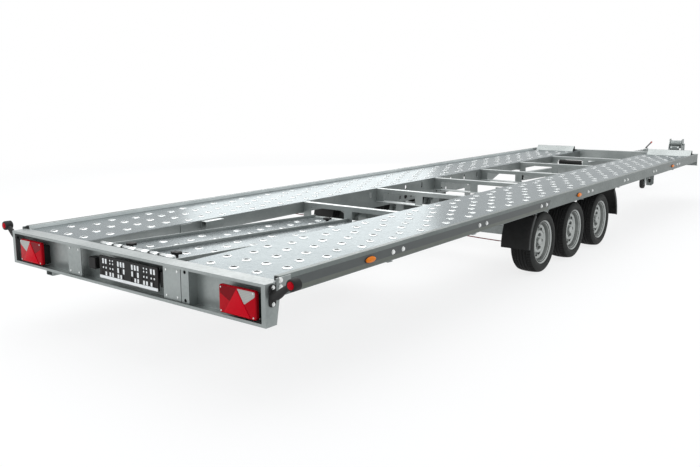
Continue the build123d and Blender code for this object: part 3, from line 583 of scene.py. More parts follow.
def shaded(mesh: bpy.types.Mesh, finishes: Sequence[Finish], corner: Corner) -> None:
    """Give a mesh its finishes and smooth shading.

    Args:
        mesh: Mesh without materials.
        finishes: Finishes in the order of its faces' numbers.
        corner: Edges that stay sharp.
    """
    for finish in finishes:
        mesh.materials.append(finish.material())
    mesh.shade_smooth()
    mesh.set_sharp_from_angle(angle=math.radians(corner.value))


def enter(piece: bpy.types.Object, body: str, finish: Finish, nodes: Sequence[str] = ()) -> bpy.types.Object:
    """Put a piece into the scene on its body, and hide the nodes it stands for.

    Args:
        piece: New object.
        body: Body that carries it.
        finish: Main finish, whose name goes to the log.
        nodes: Nodes it stands for.

    Returns:
        The same object.
    """
    bpy.context.scene.collection.objects.link(piece)
    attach(piece, body)
    if nodes:
        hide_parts(*nodes)
    log.info("%s: %s on %s", piece.name, finish.name, body)
    return piece


@dataclass
class Shell:
    """Points and faces gathered into one mesh.

    Attributes:
        points: Rows of X, Y, Z, one array per addition.
        faces: Point numbers of each face, one array per addition.
        marks: Number of each face's finish, one array per addition.
        count: Points so far.
    """

    points: list[np.ndarray] = field(default_factory=list)
    faces: list[np.ndarray] = field(default_factory=list)
    marks: list[np.ndarray] = field(default_factory=list)
    count: int = 0

    def add(self, points: np.ndarray, faces: np.ndarray, mark: int | np.ndarray = 0) -> None:
        """Add points and the faces between them.

        Args:
            points: Rows of X, Y, Z.
            faces: Rows of point numbers, counted from these points.
            mark: Number of the finish, or one for each face.
        """
        self.points.append(points.reshape(-1, 3))
        self.faces.append(np.asarray(faces) + self.count)
        self.marks.append(np.broadcast_to(mark, len(faces)))
        self.count += len(self.points[-1])

    def grid(
        self, surface: np.ndarray, around: bool = False, mark: int | np.ndarray = 0, ring: bool = False
    ) -> None:
        """Add a grid of points as quads.

        Args:
            surface: Points by row and column.
            around: Whether the last column joins the first.
            mark: Number of the finish, or one for each column.
            ring: Whether the last row joins the first.
        """
        rows, columns = surface.shape[:2]
        r, c = np.arange(rows if ring else rows - 1), np.arange(columns if around else columns - 1)
        r, c = np.meshgrid(r, c, indexing="ij")
        up, on = (r + 1) % rows, (c + 1) % columns
        quads = np.stack([r * columns + c, r * columns + on, up * columns + on, up * columns + c], axis=-1)
        self.add(surface, quads.reshape(-1, 4), np.broadcast_to(mark, r.shape).ravel())

    def bands(self, surfaces: np.ndarray, marks: np.ndarray) -> None:
        """Add many sets of closed rings at once.

        Args:
            surfaces: Points by set, ring and place round it.
            marks: Number of the finish of each band between two rings.
        """
        sets, rings, places = surfaces.shape[:3]
        s, r, c = np.meshgrid(np.arange(sets), np.arange(rings - 1), np.arange(places), indexing="ij")
        here, ahead = (s * rings + r) * places, (s * rings + r + 1) * places
        on = (c + 1) % places
        quads = np.stack([here + c, here + on, ahead + on, ahead + c], axis=-1)
        self.add(surfaces, quads.reshape(-1, 4), np.broadcast_to(marks[None, :, None], r.shape).ravel())

    def capped(self, surface: np.ndarray, mark: int | np.ndarray = 0) -> None:
        """Add a tube-like grid with both of its ends closed in the first column's finish.

        Args:
            surface: Points by ring and place round it.
            mark: Number of the finish, or one for each column.
        """
        self.grid(surface, around=True, mark=mark)
        for loop in (surface[0][::-1], surface[-1]):
            self.add(loop, np.arange(len(loop))[None], int(np.ravel(mark)[0]))

    def slab(
        self, outline: np.ndarray, levels: Levels, origin: Point, axes: np.ndarray, mark: int = 0
    ) -> None:
        """Add a rounded slab: at each level its outline is drawn in by an inset and lifted to a height.

        Args:
            outline: Closed outline about its middle.
            levels: Inset and height of each ring.
            origin: Place of the outline's middle.
            axes: Slab's axes as columns, the last one outward.
            mark: Number of the finish.
        """
        size = np.abs(outline).max(axis=0)
        rings = [extruded(outline * np.maximum(size - inset, 0) / size, [height]) for inset, height in levels]
        self.capped(placed(np.concatenate(rings), origin, axes), mark)

    def revolve(self, profile: Point, steps: int, center: Point, sign: float = 1.0, mark: int = 0) -> None:
        """Add a surface of revolution about a line along Y.

        Args:
            profile: Offset along Y and radius, one row per point.
            steps: Points round the circle.
            center: Middle of the line.
            sign: Side that offsets count towards.
            mark: Number of the finish.
        """
        self.grid(turned(profile, steps, center, sign), ring=True, mark=mark)

    def stamp(self, base: "Shell", origins: Point, axes: np.ndarray, mark: int | None = None) -> None:
        """Repeat a small shell at many places.

        Args:
            base: Shell to repeat.
            origins: Place of each copy.
            axes: Axes of every copy as columns.
            mark: Finish for every face, or the base's own.
        """
        shape = np.vstack(base.points) @ axes.T
        marks = np.concatenate(base.marks)
        for origin in np.asarray(origins):
            self.faces += [faces + self.count for faces in base.faces]
            self.points.append(shape + origin)
            self.marks.append(marks if mark is None else np.full(len(marks), mark))
            self.count += len(shape)

    def build(
        self,
        name: str,
        finishes: Sequence[Finish],
        body: str = CHASSIS,
        replaces: Sequence[str] = (),
        corner: Corner = Corner.CRISP,
    ) -> bpy.types.Object:
        """Make the mesh an object that rides on a body.

        Args:
            name: Object's name.
            finishes: Finishes in the order of the marks.
            body: Body that carries it.
            replaces: Nodes it stands for.
            corner: Edges that stay sharp.

        Returns:
            The object.
        """
        mesh = bpy.data.meshes.new(name)
        faces = [face for block in self.faces for face in block.tolist()]
        mesh.from_pydata(np.vstack(self.points), [], faces)
        mesh.polygons.foreach_set("material_index", np.concatenate(self.marks).astype(np.int32))
        work = bmesh.new()
        work.from_mesh(mesh)
        bmesh.ops.remove_doubles(work, verts=work.verts, dist=WELD)
        bmesh.ops.recalc_face_normals(work, faces=work.faces)
        work.to_mesh(mesh)
        work.free()
        shaded(mesh, finishes, corner)
        return enter(bpy.data.objects.new(name, mesh), body, finishes[0], replaces)


def bolt(width: float, height: float, washer: float = 0.0) -> Shell:
    """Hexagon head with a chamfer, on a washer.

    Args:
        width: Distance across corners.
        height: Height of the head.
        washer: Washer's width, or none.

    Returns:
        Shell that stands on its origin and points along Z.
    """
    shell = Shell()
    chamfer, bevel = width * 0.07, width * 0.04
    origin, axes = np.zeros(3), np.eye(3)
    shell.slab(polygon(6, width), [(0, 0), (0, height * 0.8), (chamfer, height)], origin, axes)
    if washer:
        shell.slab(polygon(12, washer), [(0, 0), (0, height * 0.22), (bevel, height * 0.3)], origin, axes)
    return shell


def dress(node: str, finish: Finish) -> None:
    """Give a frame node a finish as it is.

    Args:
        node: Node's name.
        finish: Finish it gets.
    """
    mesh = bpy.data.objects[node].data
    mesh.materials.clear()
    mesh.materials.append(finish.material())
    log.info("%s: %s", node, finish.name)


def soften(node: str, finish: Finish, width: float, body: str = CHASSIS, joined: bool = True) -> bpy.types.Object:
    """Stand a copy of a node in its place with its edges rounded.

    Args:
        node: Node's name.
        finish: Finish it gets.
        width: Width of the rounding, in metres.
        body: Body that carries it.
        joined: Whether flat triangles are joined into whole faces first.

    Returns:
        The object.
    """
    flat, sharp = math.radians(1), math.radians(40)
    mesh = bpy.data.objects[node].data.copy()
    work = bmesh.new()
    work.from_mesh(mesh)
    bmesh.ops.remove_doubles(work, verts=work.verts, dist=NODE_WELD)
    if joined:
        bmesh.ops.dissolve_limit(work, angle_limit=flat, verts=work.verts, edges=work.edges)
    work.to_mesh(mesh)
    work.free()
    mesh.materials.clear()
    shaded(mesh, [finish], Corner.CRISP)
    piece = bpy.data.objects.new(f"{node}_edged", mesh)
    bevel = piece.modifiers.new("edges", "BEVEL")
    bevel.width = width
    bevel.segments = 2
    bevel.limit_method = "ANGLE"
    bevel.angle_limit = sharp
    bevel.harden_normals = True
    return enter(piece, body, finish, [node])


@dataclass(frozen=True)
class Box:
    """Extent of a node.

    Attributes:
        low: Lowest corner.
        high: Highest corner.
    """

    low: np.ndarray
    high: np.ndarray

    @classmethod
    def of(cls, node: str) -> "Box":
        """Extent of a frame node by its name."""
        return cls(*(np.array(corner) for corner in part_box(node)))

    @property
    def middle(self) -> np.ndarray:
        """Middle of the extent."""
        return (self.low + self.high) / 2

    @property
    def size(self) -> np.ndarray:
        """Length, width and height."""
        return self.high - self.low


@dataclass(frozen=True)
class Layout:
    """Main planes of the trailer, read from the frame, in metres.

    Attributes:
        rear: X of the rear face.
        half: Half the deck's width.
        deck: Height of the deck.
        rail_top: Height of the rails' top.
        rail_bottom: Height of the rails' foot.
    """

    rear: float
    half: float
    deck: float
    rail_top: float
    rail_bottom: float

    @classmethod
    def read(cls) -> "Layout":
        """Planes of the loaded frame.

        Returns:
            The planes.
        """
        rail = Box.of("rail_left")
        rear, deck = Box.of("rear_frame").low[0], Box.of("well_edges").high[2] + DECK_SHEET
        return cls(rear, rail.high[1], deck, rail.high[2], rail.low[2])

    def x(self, millimetres: float) -> float:
        """X of a distance ahead of the rear face."""
        return self.rear + millimetres * MM


@dataclass
class Assembly:
    """Part of the trailer that is dressed as one.

    Attributes:
        layout: Trailer's planes.
    """

    layout: Layout

    def build(self) -> None:
        """Make and dress the pieces, each assembly in its own way."""
        raise NotImplementedError


class SheetMark(IntEnum):
    """Finish of a face of pressed sheet, as its number in the piece's list."""

    SHEET = 0
    # Painted shade on the walls of holes and on the hook tubes' core
    BORE = 1
    # Painted highlight on collars and on the hook tubes' bright lengths
    COLLAR = 2
    RIM = 3


@dataclass
class GripHoles:
    """Rows of holes whose rims are pressed up into collars.

    Attributes:
        pitch: Distance between rows, in metres.
        thickness: Thickness of the sheet, in metres.
        collar: Radius and height of each ring of a collar, from the sheet to the mouth of the hole, in millimetres.
        bore: Radius of the hole, in millimetres.
        sides: Points on each side of a hole's cell.
    """

    pitch: float = 162.5 * MM
    thickness: float = DECK_SHEET
    collar: Table = ((30.0, 0.0), (28.0, 0.0), (22.5, 4.6), (19.8, 5.0), (18.0, 3.4))
    bore: float = 18.0
    sides: int = 3

    def cells(
        self, ends: tuple[float, float], edges: tuple[float, float], first: float, rows: Table, margin: float
    ) -> np.ndarray:
        """Cut a sheet into a strip for each row and a cell for each hole.

        Args:
            ends: Lowest and highest X.
            edges: Y of the first and last edge.
            first: X of the first row.
            rows: Rows in turn, each a list of shares across the sheet.
            margin: Least distance of the last row from the end.

        Returns:
            Lowest and highest X, lowest and highest Y, hole's X and Y, one row per cell.
        """
        count = int((ends[1] - margin - first) // self.pitch) + 1
        found = []
        for i in range(count):
            middle = first + i * self.pitch
            low = ends[0] if i == 0 else middle - self.pitch / 2
            high = ends[1] if i == count - 1 else middle + self.pitch / 2
            across = edges[0] + np.array(rows[i % len(rows)]) * (edges[1] - edges[0])
            bounds = np.concatenate([edges[:1], (across[1:] + across[:-1]) / 2, edges[1:]])
            found += [(low, high, bounds[j], bounds[j + 1], middle, y) for j, y in enumerate(across)]
        return np.array(found)

    def rings(self, cells: np.ndarray) -> np.ndarray:
        """Rings of each cell.

        Each cell runs from its own outline over the collar's circles, down the hole and back along the underside
        to its outline. A circle's points lie on the lines from the hole's middle to the outline's points.

        Args:
            cells: Cells from the method of that name.

        Returns:
            Points by cell, ring and place round the cell, with the sheet's top at zero height.
        """
        run = np.arange(self.sides) / self.sides
        fixed = np.ones(self.sides)
        u = np.concatenate([run, fixed, 1 - run, 0 * fixed])
        v = np.concatenate([0 * fixed, run, fixed, 1 - run])
        low, span = cells[:, [0, 2]], cells[:, [1, 3]] - cells[:, [0, 2]]
        outline = low[:, None] + span[:, None] * np.column_stack([u, v])[None]
        hole = cells[:, None, 4:6]
        out = outline - hole
        out /= np.linalg.norm(out, axis=2, keepdims=True)
        levels = np.array([*self.collar, (self.bore, -self.thickness / MM)]) * MM
        circles = hole[:, None] + out[:, None] * levels[None, :, None, None, 0]
        flat = np.concatenate([outline[:, None], circles, outline[:, None]], axis=1)
        height = np.concatenate([[0], levels[:, 1], [-self.thickness]])
        lifted = np.broadcast_to(height[None, :, None, None], (*flat.shape[:3], 1))
        return np.concatenate([flat, lifted], axis=3)

    def press(self, shell: Shell, cells: np.ndarray, seat: Seat) -> None:
        """Add a sheet with its holes, and the sheet's own edges.

        Args:
            shell: Shell that takes it.
            cells: Cells from the method of that name.
            seat: Moves local points to their place.
        """
        surfaces = self.rings(cells)
        marks = np.full(surfaces.shape[1] - 1, SheetMark.SHEET)
        marks[2:-2] = SheetMark.COLLAR
        # The hole's wall takes the dark finish: painted shade inside the hole
        marks[-2] = SheetMark.BORE
        shell.bands(seat(surfaces), marks)
        low, high = cells[:, [0, 2]].min(axis=0), cells[:, [1, 3]].max(axis=0)
        corners = [(low[0], low[1]), (high[0], low[1]), (high[0], high[1]), (low[0], high[1])]
        shell.grid(seat(extruded(corners, (0.0, -self.thickness))), around=True)


@dataclass
class DeckTrack(Assembly):
    """One pressed track of the deck.

    Attributes:
        side: Side of the trailer.
        first_row: Distance of the first row of holes from the rear face, in millimetres.
        end_margin: Least distance of the last row from the front end, in metres.
        rows: Rows in turn, as shares of the track's width.
        width: Width that the shares count on, out to the rail's face, in metres.
    """

    side: Side
    first_row: float = 170.0
    end_margin: float = 146 * MM
    rows: Table = ((0.186, 0.442, 0.683), (0.120, 0.339, 0.552, 0.768))
    width: float = 690 * MM

    def build(self) -> None:
        """Make the sheet with its collars in place of the node."""
        node = f"track_{self.side.word}"
        box = Box.of(node)
        inner, outer = sorted((abs(box.low[1]), abs(box.high[1])))
        shares = tuple(tuple(s * self.width / (outer - inner) for s in row) for row in self.rows)
        holes = GripHoles()
        ends = (box.low[0], box.high[0])
        cells = holes.cells(ends, (inner, outer), self.layout.x(self.first_row), shares, self.end_margin)
        shell = Shell()
        holes.press(shell, cells, lambda points: points * (1, self.side.value, 1) + (0, 0, self.layout.deck))
        # Walls of the holes take painted shade, collars a painted highlight
        finishes = [Finishes.DECK, Finishes.PUNCHED, Finishes.BURNISHED]
        shell.build(f"{node}_pressed", finishes, replaces=[node], corner=Corner.SOFT)


@dataclass
class TrailerFrame(Assembly):
    """Beams and cross-members that the frame already shapes.

    Attributes:
        edge: Width of the rounding on their edges, in metres.
        softened: Finish of each node whose edges are rounded.
        plain: Nodes that stay as they are.
        whole: Nodes whose faces are kept as the frame cut them.
    """

    edge: float = 2 * MM
    softened: tuple[tuple[Finish, tuple[str, ...]], ...] = (
        (Finishes.REAR, ("rear_frame",)),
        (
            Finishes.FRAME,
            (
                "front_beam", "cross_members", "girders", "drawbar", "axle_tubes", "well_edges", "winch_frame",
                "hanger_plates", "ramp_latches", "brake_equaliser", "jack_clamp", "corner_plates",
            ),
        ),
        (Finishes.FRESH, ("wheel_stops",)),
    )
    plain: tuple[str, ...] = ("swing_arms", "rod_hangers", "brake_rod", "jack_tube")
    whole: tuple[str, ...] = ("front_beam", "drawbar", "wheel_stops")

    def build(self) -> None:
        """Round the edges of the main beams and dress the rest."""
        for finish, nodes in self.softened:
            for node in nodes:
                soften(node, finish, self.edge, joined=node not in self.whole)
        for node in self.plain:
            dress(node, Finishes.FRAME)


class WheelMark(IntEnum):
    """Finish of a face of a rim, as its number in the piece's list."""

    PAINT = 0
    IRON = 1
    DUST = 2


@dataclass
class Wheel(Assembly):
    """Road wheel: grooved tyre, dished rim, hub cap and wheel bolts.

    Profiles are offsets from the wheel's middle and radii, in millimetres.

    Attributes:
        side: Side of the trailer.
        number: Axle, counted from the rear.
        steps: Points round the tyre.
        section_half: Half the width that the sidewall's profile is drawn for, in millimetres.
        sidewall: Profile of a sidewall, from the bead to the shoulder.
        tread_half: Half the tread's width, in millimetres.
        tread_points: Points across the tread.
        crown: Fall of the tread at its edges in millimetres, and the power that it falls by.
        grooves: Offset of each groove from the middle, in millimetres.
        groove_depth: Depth of the tread's grooves, in metres.
        groove_half: Half the width of a groove, in millimetres.
        shoulder: Offset where the shoulder's blocks start and the run to their full depth, in millimetres.
        block_depth: Depth of the cuts between the blocks, as a share of the grooves'.
        lip: Profile of the rim's outer lip.
        inner_wall: Profile of the rim's inner wall on the outer side.
        barrel: Profile of the rim's inner side.
        dish: Profile of the disc.
        drum: Profile of the brake drum.
        cap: Profile of the hub cap.
        sheet: Thickness of the disc, in metres.
        vents: Vents in the disc.
        vent_band: Number of the disc's band that they open.
        vent_steps: Points round the disc for each vent, half of them open.
        bolt_count: Wheel bolts.
        bolt_circle: Radius of their circle, in metres.
        bolt_seat: Offset of their seats.
        bolt_turn: Angle of the first one, in radians.
    """

    side: Side
    number: int
    steps: int = 240
    section_half: float = 98.5
    sidewall: Table = (
        (75, 166), (82, 181), (87, 186), (90, 193), (93, 195), (94.5, 199), (96, 203), (98.4, 216), (98, 227),
        (95, 236), (90, 244.5), (85, 250), (81, 253),
    )
    tread_half: float = 80.0
    tread_points: int = 65
    crown: tuple[float, float] = (8.0, 2.6)
    grooves: tuple[float, ...] = (-40.0, -14.0, 14.0, 40.0)
    groove_depth: float = 8 * MM
    groove_half: float = 3.8
    shoulder: tuple[float, float] = (47.0, 4.0)
    block_depth: float = 0.8
    lip: Table = (
        (70, 163), (74, 169), (80, 173), (85, 178), (86.5, 182), (84, 184), (79, 181), (75, 165.5), (60, 160),
        (40, 152),
    )
    inner_wall: Table = ((44, 147), (54, 151), (64, 156), (70, 163))
    barrel: Table = (
        (40, 152), (10, 149), (-30, 149), (-60, 156), (-75, 165.5), (-80, 181), (-85, 182), (-85, 178), (-78, 170),
        (-72, 160), (-40, 145), (10, 144), (44, 147),
    )
    dish: Table = (
        (46, 146), (41, 139), (37, 129), (35, 113), (40, 104), (50, 97), (57, 90), (58, 82), (53, 73), (46, 66),
        (44, 58), (43, 33),
    )
    drum: Table = ((-104, 26), (-104, 112), (-40, 112), (15, 90), (34, 60), (38, 30), (20, 26), (-104, 26))
    cap: Table = ((38, 0), (38, 34), (54, 33), (62, 30), (65, 24), (66, 0))
    sheet: float = 5 * MM
    vents: int = 12
    vent_band: int = 2
    vent_steps: int = 6
    bolt_count: int = 5
    bolt_circle: float = 56 * MM
    bolt_seat: float = 44 * MM
    bolt_turn: float = 0.3

    def build(self) -> None:
        """Make the tyre, the rim and the hub in place of their nodes."""
        name = f"{self.side.word}_{self.number}"
        box = Box.of(f"tyre_{name}")
        self.tyre(name, box)
        self.rim(name, box.middle)

    def tyre(self, name: str, box: Box) -> None:
        """Tyre: a rounded section carried round the axle, its tread grooved and its shoulders cut into blocks.

        The radius at an offset is the section's own radius, less a smooth dip at each groove and less a
        square wave round the wheel near the shoulders. A raised bead runs round each sidewall.

        Args:
            name: Side and axle.
            box: Tyre's extent.
        """
        center, sign = box.middle, self.side.value
        _, half, radius = box.size / 2
        fit = np.array([half / self.section_half, MM])
        offset = np.linspace(-self.tread_half, self.tread_half, self.tread_points)
        fall, power = self.crown
        crown = radius - fall * MM * np.abs(offset / self.tread_half) ** power
        surface = turned(np.column_stack([offset * MM, crown]), self.steps, center, sign)
        dip = sum(np.exp(-(((offset - groove) / self.groove_half) ** 4)) for groove in self.grooves)
        block = (np.arange(self.steps) // 2 % 2)[:, None]
        start, run = self.shoulder
        cut = self.block_depth * block * np.clip((np.abs(offset) - start) / run, 0, 1)
        spoke = (surface - center) * (1, 0, 1)
        spoke /= np.linalg.norm(spoke, axis=2, keepdims=True)
        surface -= spoke * (self.groove_depth * np.maximum(dip, cut))[..., None]
        shell = Shell()
        shell.grid(surface, mark=1, ring=True)
        for flip, edge in ((1, -1), (-1, 0)):
            wall = turned(np.array(self.sidewall) * fit * (flip, 1), self.steps, center, sign)
            shell.grid(wall, ring=True)
            shell.grid(np.stack([wall[:, -1], surface[:, edge]], axis=1), mark=1, ring=True)
        bead = np.array(self.sidewall[:1] * 2) * fit * [(-1, 1), (1, 1)]
        shell.revolve(bead, self.steps, center, sign)
        finishes = [Finishes.TYRE, Finishes.TREAD]
        shell.build(f"tyre_{name}_treaded", finishes, f"wheel_{name}", [f"tyre_{name}"], Corner.SOFT)

    def rim(self, name: str, center: np.ndarray) -> None:
        """Rim and hub: profiles carried round the axle, the disc opened at each vent.

        Args:
            name: Side and axle.
            center: Wheel's middle.
        """
        shell, sign = Shell(), self.side.value
        fine = self.steps // 2
        # The inner wall takes the darker paint as painted shade; the drum is dark iron, and the barrel takes that
        # colour as painted shade
        for profile, corner, spans, steps, mark in (
            (self.lip, 4 * MM, 3, fine, WheelMark.PAINT),
            (self.inner_wall, 4 * MM, 3, fine, WheelMark.DUST),
            (self.barrel, 4 * MM, 3, fine, WheelMark.IRON),
            (self.drum, 6 * MM, 2, 48, WheelMark.IRON),
            (self.cap, 3 * MM, 2, 36, WheelMark.PAINT),
        ):
            shell.revolve(rounded(np.array(profile) * MM, corner, spans), steps, center, sign, mark)
        self.disc(shell, center)
        angle = np.arange(self.bolt_count) * TAU / self.bolt_count + self.bolt_turn
        around = np.column_stack([np.sin(angle), 0 * angle, np.cos(angle)]) * self.bolt_circle
        seats = center + around + (0, sign * self.bolt_seat, 0)
        # Wheel bolts take the darker paint as painted shade
        shell.stamp(bolt(26 * MM, 14 * MM, washer=28 * MM), seats, facing((0, sign, 0)), WheelMark.DUST)
        finishes = [Finishes.WHEEL, Finishes.DRUM, Finishes.DUSTY]
        shell.build(f"rim_{name}_dished", finishes, f"wheel_{name}", [f"rim_{name}"], Corner.SOFT)

    def disc(self, shell: Shell, center: np.ndarray) -> None:
        """Dished disc with a raised nave, as two faces a sheet apart, opened and walled at each vent.

        The profile goes round the axle. The vents take up half of each turn between two of its rings.

        Args:
            shell: Shell that takes it.
            center: Wheel's middle.
        """
        pitch, opening, band = self.vent_steps, self.vent_steps // 2, self.vent_band
        steps = self.vents * pitch
        dish = np.array(self.dish) * MM
        faces = [turned(dish + (lift, 0), steps, center, self.side.value) for lift in (0, -self.sheet)]
        # The disc's back face and the vent walls take the dark iron colour as painted shade
        for mark, surface in zip((WheelMark.PAINT, WheelMark.IRON), faces):
            columns = surface.shape[1]
            row, column = np.meshgrid(np.arange(steps), np.arange(columns - 1), indexing="ij")
            solid = (column != band) | (row % pitch >= opening)
            row, column = row[solid], column[solid]
            here, ahead = row * columns + column, (row + 1) % steps * columns + column
            shell.add(surface, np.stack([here, here + 1, ahead + 1, ahead], axis=-1), mark)
        first = np.arange(self.vents)[:, None] * pitch
        rows = np.concatenate([first + np.arange(opening + 1), first + np.arange(opening, -1, -1)], axis=1)
        places = np.repeat([band, band + 1], opening + 1)[None]
        walls = np.stack([surface[rows, places] for surface in faces], axis=1)
        shell.bands(walls, np.array([WheelMark.IRON]))
        for edge in (0, -1):
            shell.grid(np.stack([surface[:, edge] for surface in faces], axis=1), mark=WheelMark.IRON, ring=True)


@dataclass(frozen=True)
class Arch:
    """Arc of one guard about its wheel.

    Attributes:
        side: Side of the trailer.
        axle: Wheel's middle.
        direction: Ahead of the wheel, 1, or behind it, -1.
        radius: Arc's radius, in metres.
    """

    side: Side
    axle: np.ndarray
    direction: int
    radius: float


@dataclass
class Mudguards(Assembly):
    """Black guards: an arched sheet with a rounded outer lip behind the first wheel and ahead of the last.

    Attributes:
        radii: Radius of the arch behind the first wheel and ahead of the last, in metres.
        outer: Y of the lip's outer face.
        width: Width of the sheet.
        lip: Depth of the lip.
        wall: Thickness of the sheet.
        fold: Radius of the fold between sheet and lip.
        start: Angle of the arch's top end above the level, in degrees.
        arc_steps: Points along the arch.
        bracket: Length of the bracket along X.
        overlap: How far the bracket reaches below the arch's top end.
        setback: Distance of the bracket's end from the lip's outer face.
    """

    radii: tuple[float, float] = (395 * MM, 400 * MM)
    outer: float = 1120 * MM
    width: float = 241 * MM
    lip: float = 38 * MM
    wall: float = 5 * MM
    fold: float = 10 * MM
    start: float = 45.0
    arc_steps: int = 20
    bracket: float = 34 * MM
    overlap: float = 10 * MM
    setback: float = 8 * MM

    def build(self) -> None:
        """Make the four guards in place of the node."""
        shell = Shell()
        for side in Side:
            for number, direction, radius in zip((AXLES[0], AXLES[-1]), (-1, 1), self.radii):
                arch = Arch(side, Box.of(f"tyre_{side.word}_{number}").middle, direction, radius)
                self.guard(shell, arch)
                self.hanger(shell, arch)
        finishes = [Finishes.PLASTIC, Finishes.SCUFFED]
        shell.build("mudguards_moulded", finishes, replaces=["mudguards"], corner=Corner.SOFT)

    def guard(self, shell: Shell, arch: Arch) -> None:
        """One guard: a closed section of sheet and lip carried along an arc.

        A point of the section keeps its Y, and its height above the arc adds to the arc's radius.

        Args:
            shell: Shell that takes it.
            arch: Guard's arc.
        """
        angle = np.linspace(math.radians(self.start), 0, self.arc_steps)[:, None]
        inner, edge, wall, lip = self.outer - self.width, self.outer, self.wall, self.lip
        corners = [(inner, 0), (edge, 0), (edge, -lip), (edge - wall, -lip), (edge - wall, -wall), (inner, -wall)]
        section = rounded(corners, self.fold, closed=True)
        reach = arch.radius + section[:, 1]
        x = arch.axle[0] + arch.direction * reach * np.cos(angle)
        z = arch.axle[2] + reach * np.sin(angle)
        y = np.broadcast_to(arch.side.value * section[:, 0], x.shape)
        outside = section[:, 0] > edge - wall / 2
        scuffed = outside & np.roll(outside, -1)
        shell.capped(np.stack([x, y, z], axis=-1), scuffed.astype(int))

    def hanger(self, shell: Shell, arch: Arch) -> None:
        """Bracket that holds a guard's top end under the rail: a rounded bar carried across.

        Args:
            shell: Shell that takes it.
            arch: Guard's arc.
        """
        start = math.radians(self.start)
        foot = arch.axle[2] + arch.radius * math.sin(start) - self.overlap
        end = arch.axle[0] + arch.direction * arch.radius * math.cos(start)
        height = self.layout.rail_bottom - foot
        middle = (end + arch.direction * self.bracket / 2, foot + height / 2)
        bar = rounded_rectangle(self.bracket, height, 4 * MM) + middle
        across = np.array([self.outer - self.width, self.outer - self.setback]) * arch.side.value
        shell.capped(extruded(bar, across)[..., [0, 2, 1]])


@dataclass
class TailLamps(Assembly):
    """Tail lamp clusters: black body, red lens with a clear and a dark section, raised triangle, screws.

    Attributes:
        width: Width of a lens, in metres.
        height: Height of a lens.
        triangle: Base and height of the reflector.
        clear: Corners of the clear section on the outer side, in millimetres from the lens's middle.
        deep: Corners of the dark section on the inner side.
        screws: Screws, in millimetres from the middle of the lens's face.
    """

    width: float = 256 * MM
    height: float = 146 * MM
    triangle: tuple[float, float] = (184 * MM, 134 * MM)
    clear: Table = ((2, 68), (122, 68), (122, 44), (50, -4))
    deep: Table = ((-2, 68), (-120, 68), (-120, 30), (-50, -4))
    screws: Table = ((-112, 60, 0), (112, 60, 0), (-112, -60, 0), (112, -60, 0))

    def build(self) -> None:
        """Make both clusters in place of their nodes.

        Lens, body and triangle are slabs. The coloured sections are outlines carried out of the lens's face.
        """
        box = Box.of("tail_lenses")
        depth, back = box.size[0], box.high[0]
        axes = facing(BACK)
        face = rounded_rectangle(self.width, self.height, 14 * MM)
        dome = [(0, 0), (0, depth - 6 * MM), (3 * MM, depth - 1.5 * MM), (7 * MM, depth)]
        body = rounded_rectangle(self.width - 8 * MM, self.height - 26 * MM, 12 * MM) - (0, 9 * MM)
        shoulders = [(0, back - Box.of("tail_housings").high[0]), (0, -1 * MM), (2 * MM, 0)]
        corners = np.array([(-1, -1), (1, -1), (0, 1)]) * self.triangle / 2
        triangle = rounded(corners, 8 * MM, 3, closed=True)
        slopes = [(0, depth - 1 * MM), (1.5 * MM, depth + 3.2 * MM), (5 * MM, depth + 4 * MM)]
        screws = np.array(self.screws) * MM + (0, 0, depth)
        lens, housing, prism = Shell(), Shell(), Shell()
        for side in Side:
            middle = np.array([back, side.value * (box.high[1] - self.width / 2), box.middle[2]])
            lens.slab(face, dome, middle, axes)
            housing.slab(body, shoulders, middle, axes)
            prism.slab(triangle, slopes, middle, axes)
            for mark, area in ((1, self.clear), (2, self.deep)):
                outline = rounded(np.array(area) * MM * (-side.value, 1), 5 * MM, 2, closed=True)
                lens.capped(placed(extruded(outline, (depth - 1 * MM, depth + 0.6 * MM)), middle, axes), mark)
            lens.stamp(bolt(9 * MM, 3 * MM), placed(screws, middle, axes), axes, mark=3)
        finishes = [Finishes.RED, Finishes.CLEAR, Finishes.DEEP, Finishes.BOLT]
        lens.build("tail_lens_red", finishes, replaces=["tail_lenses"])
        housing.build("tail_lamp_body", [Finishes.PLASTIC], replaces=["tail_housings"])
        prism.build("tail_triangle", [Finishes.REFLECTOR], replaces=["tail_reflectors"])


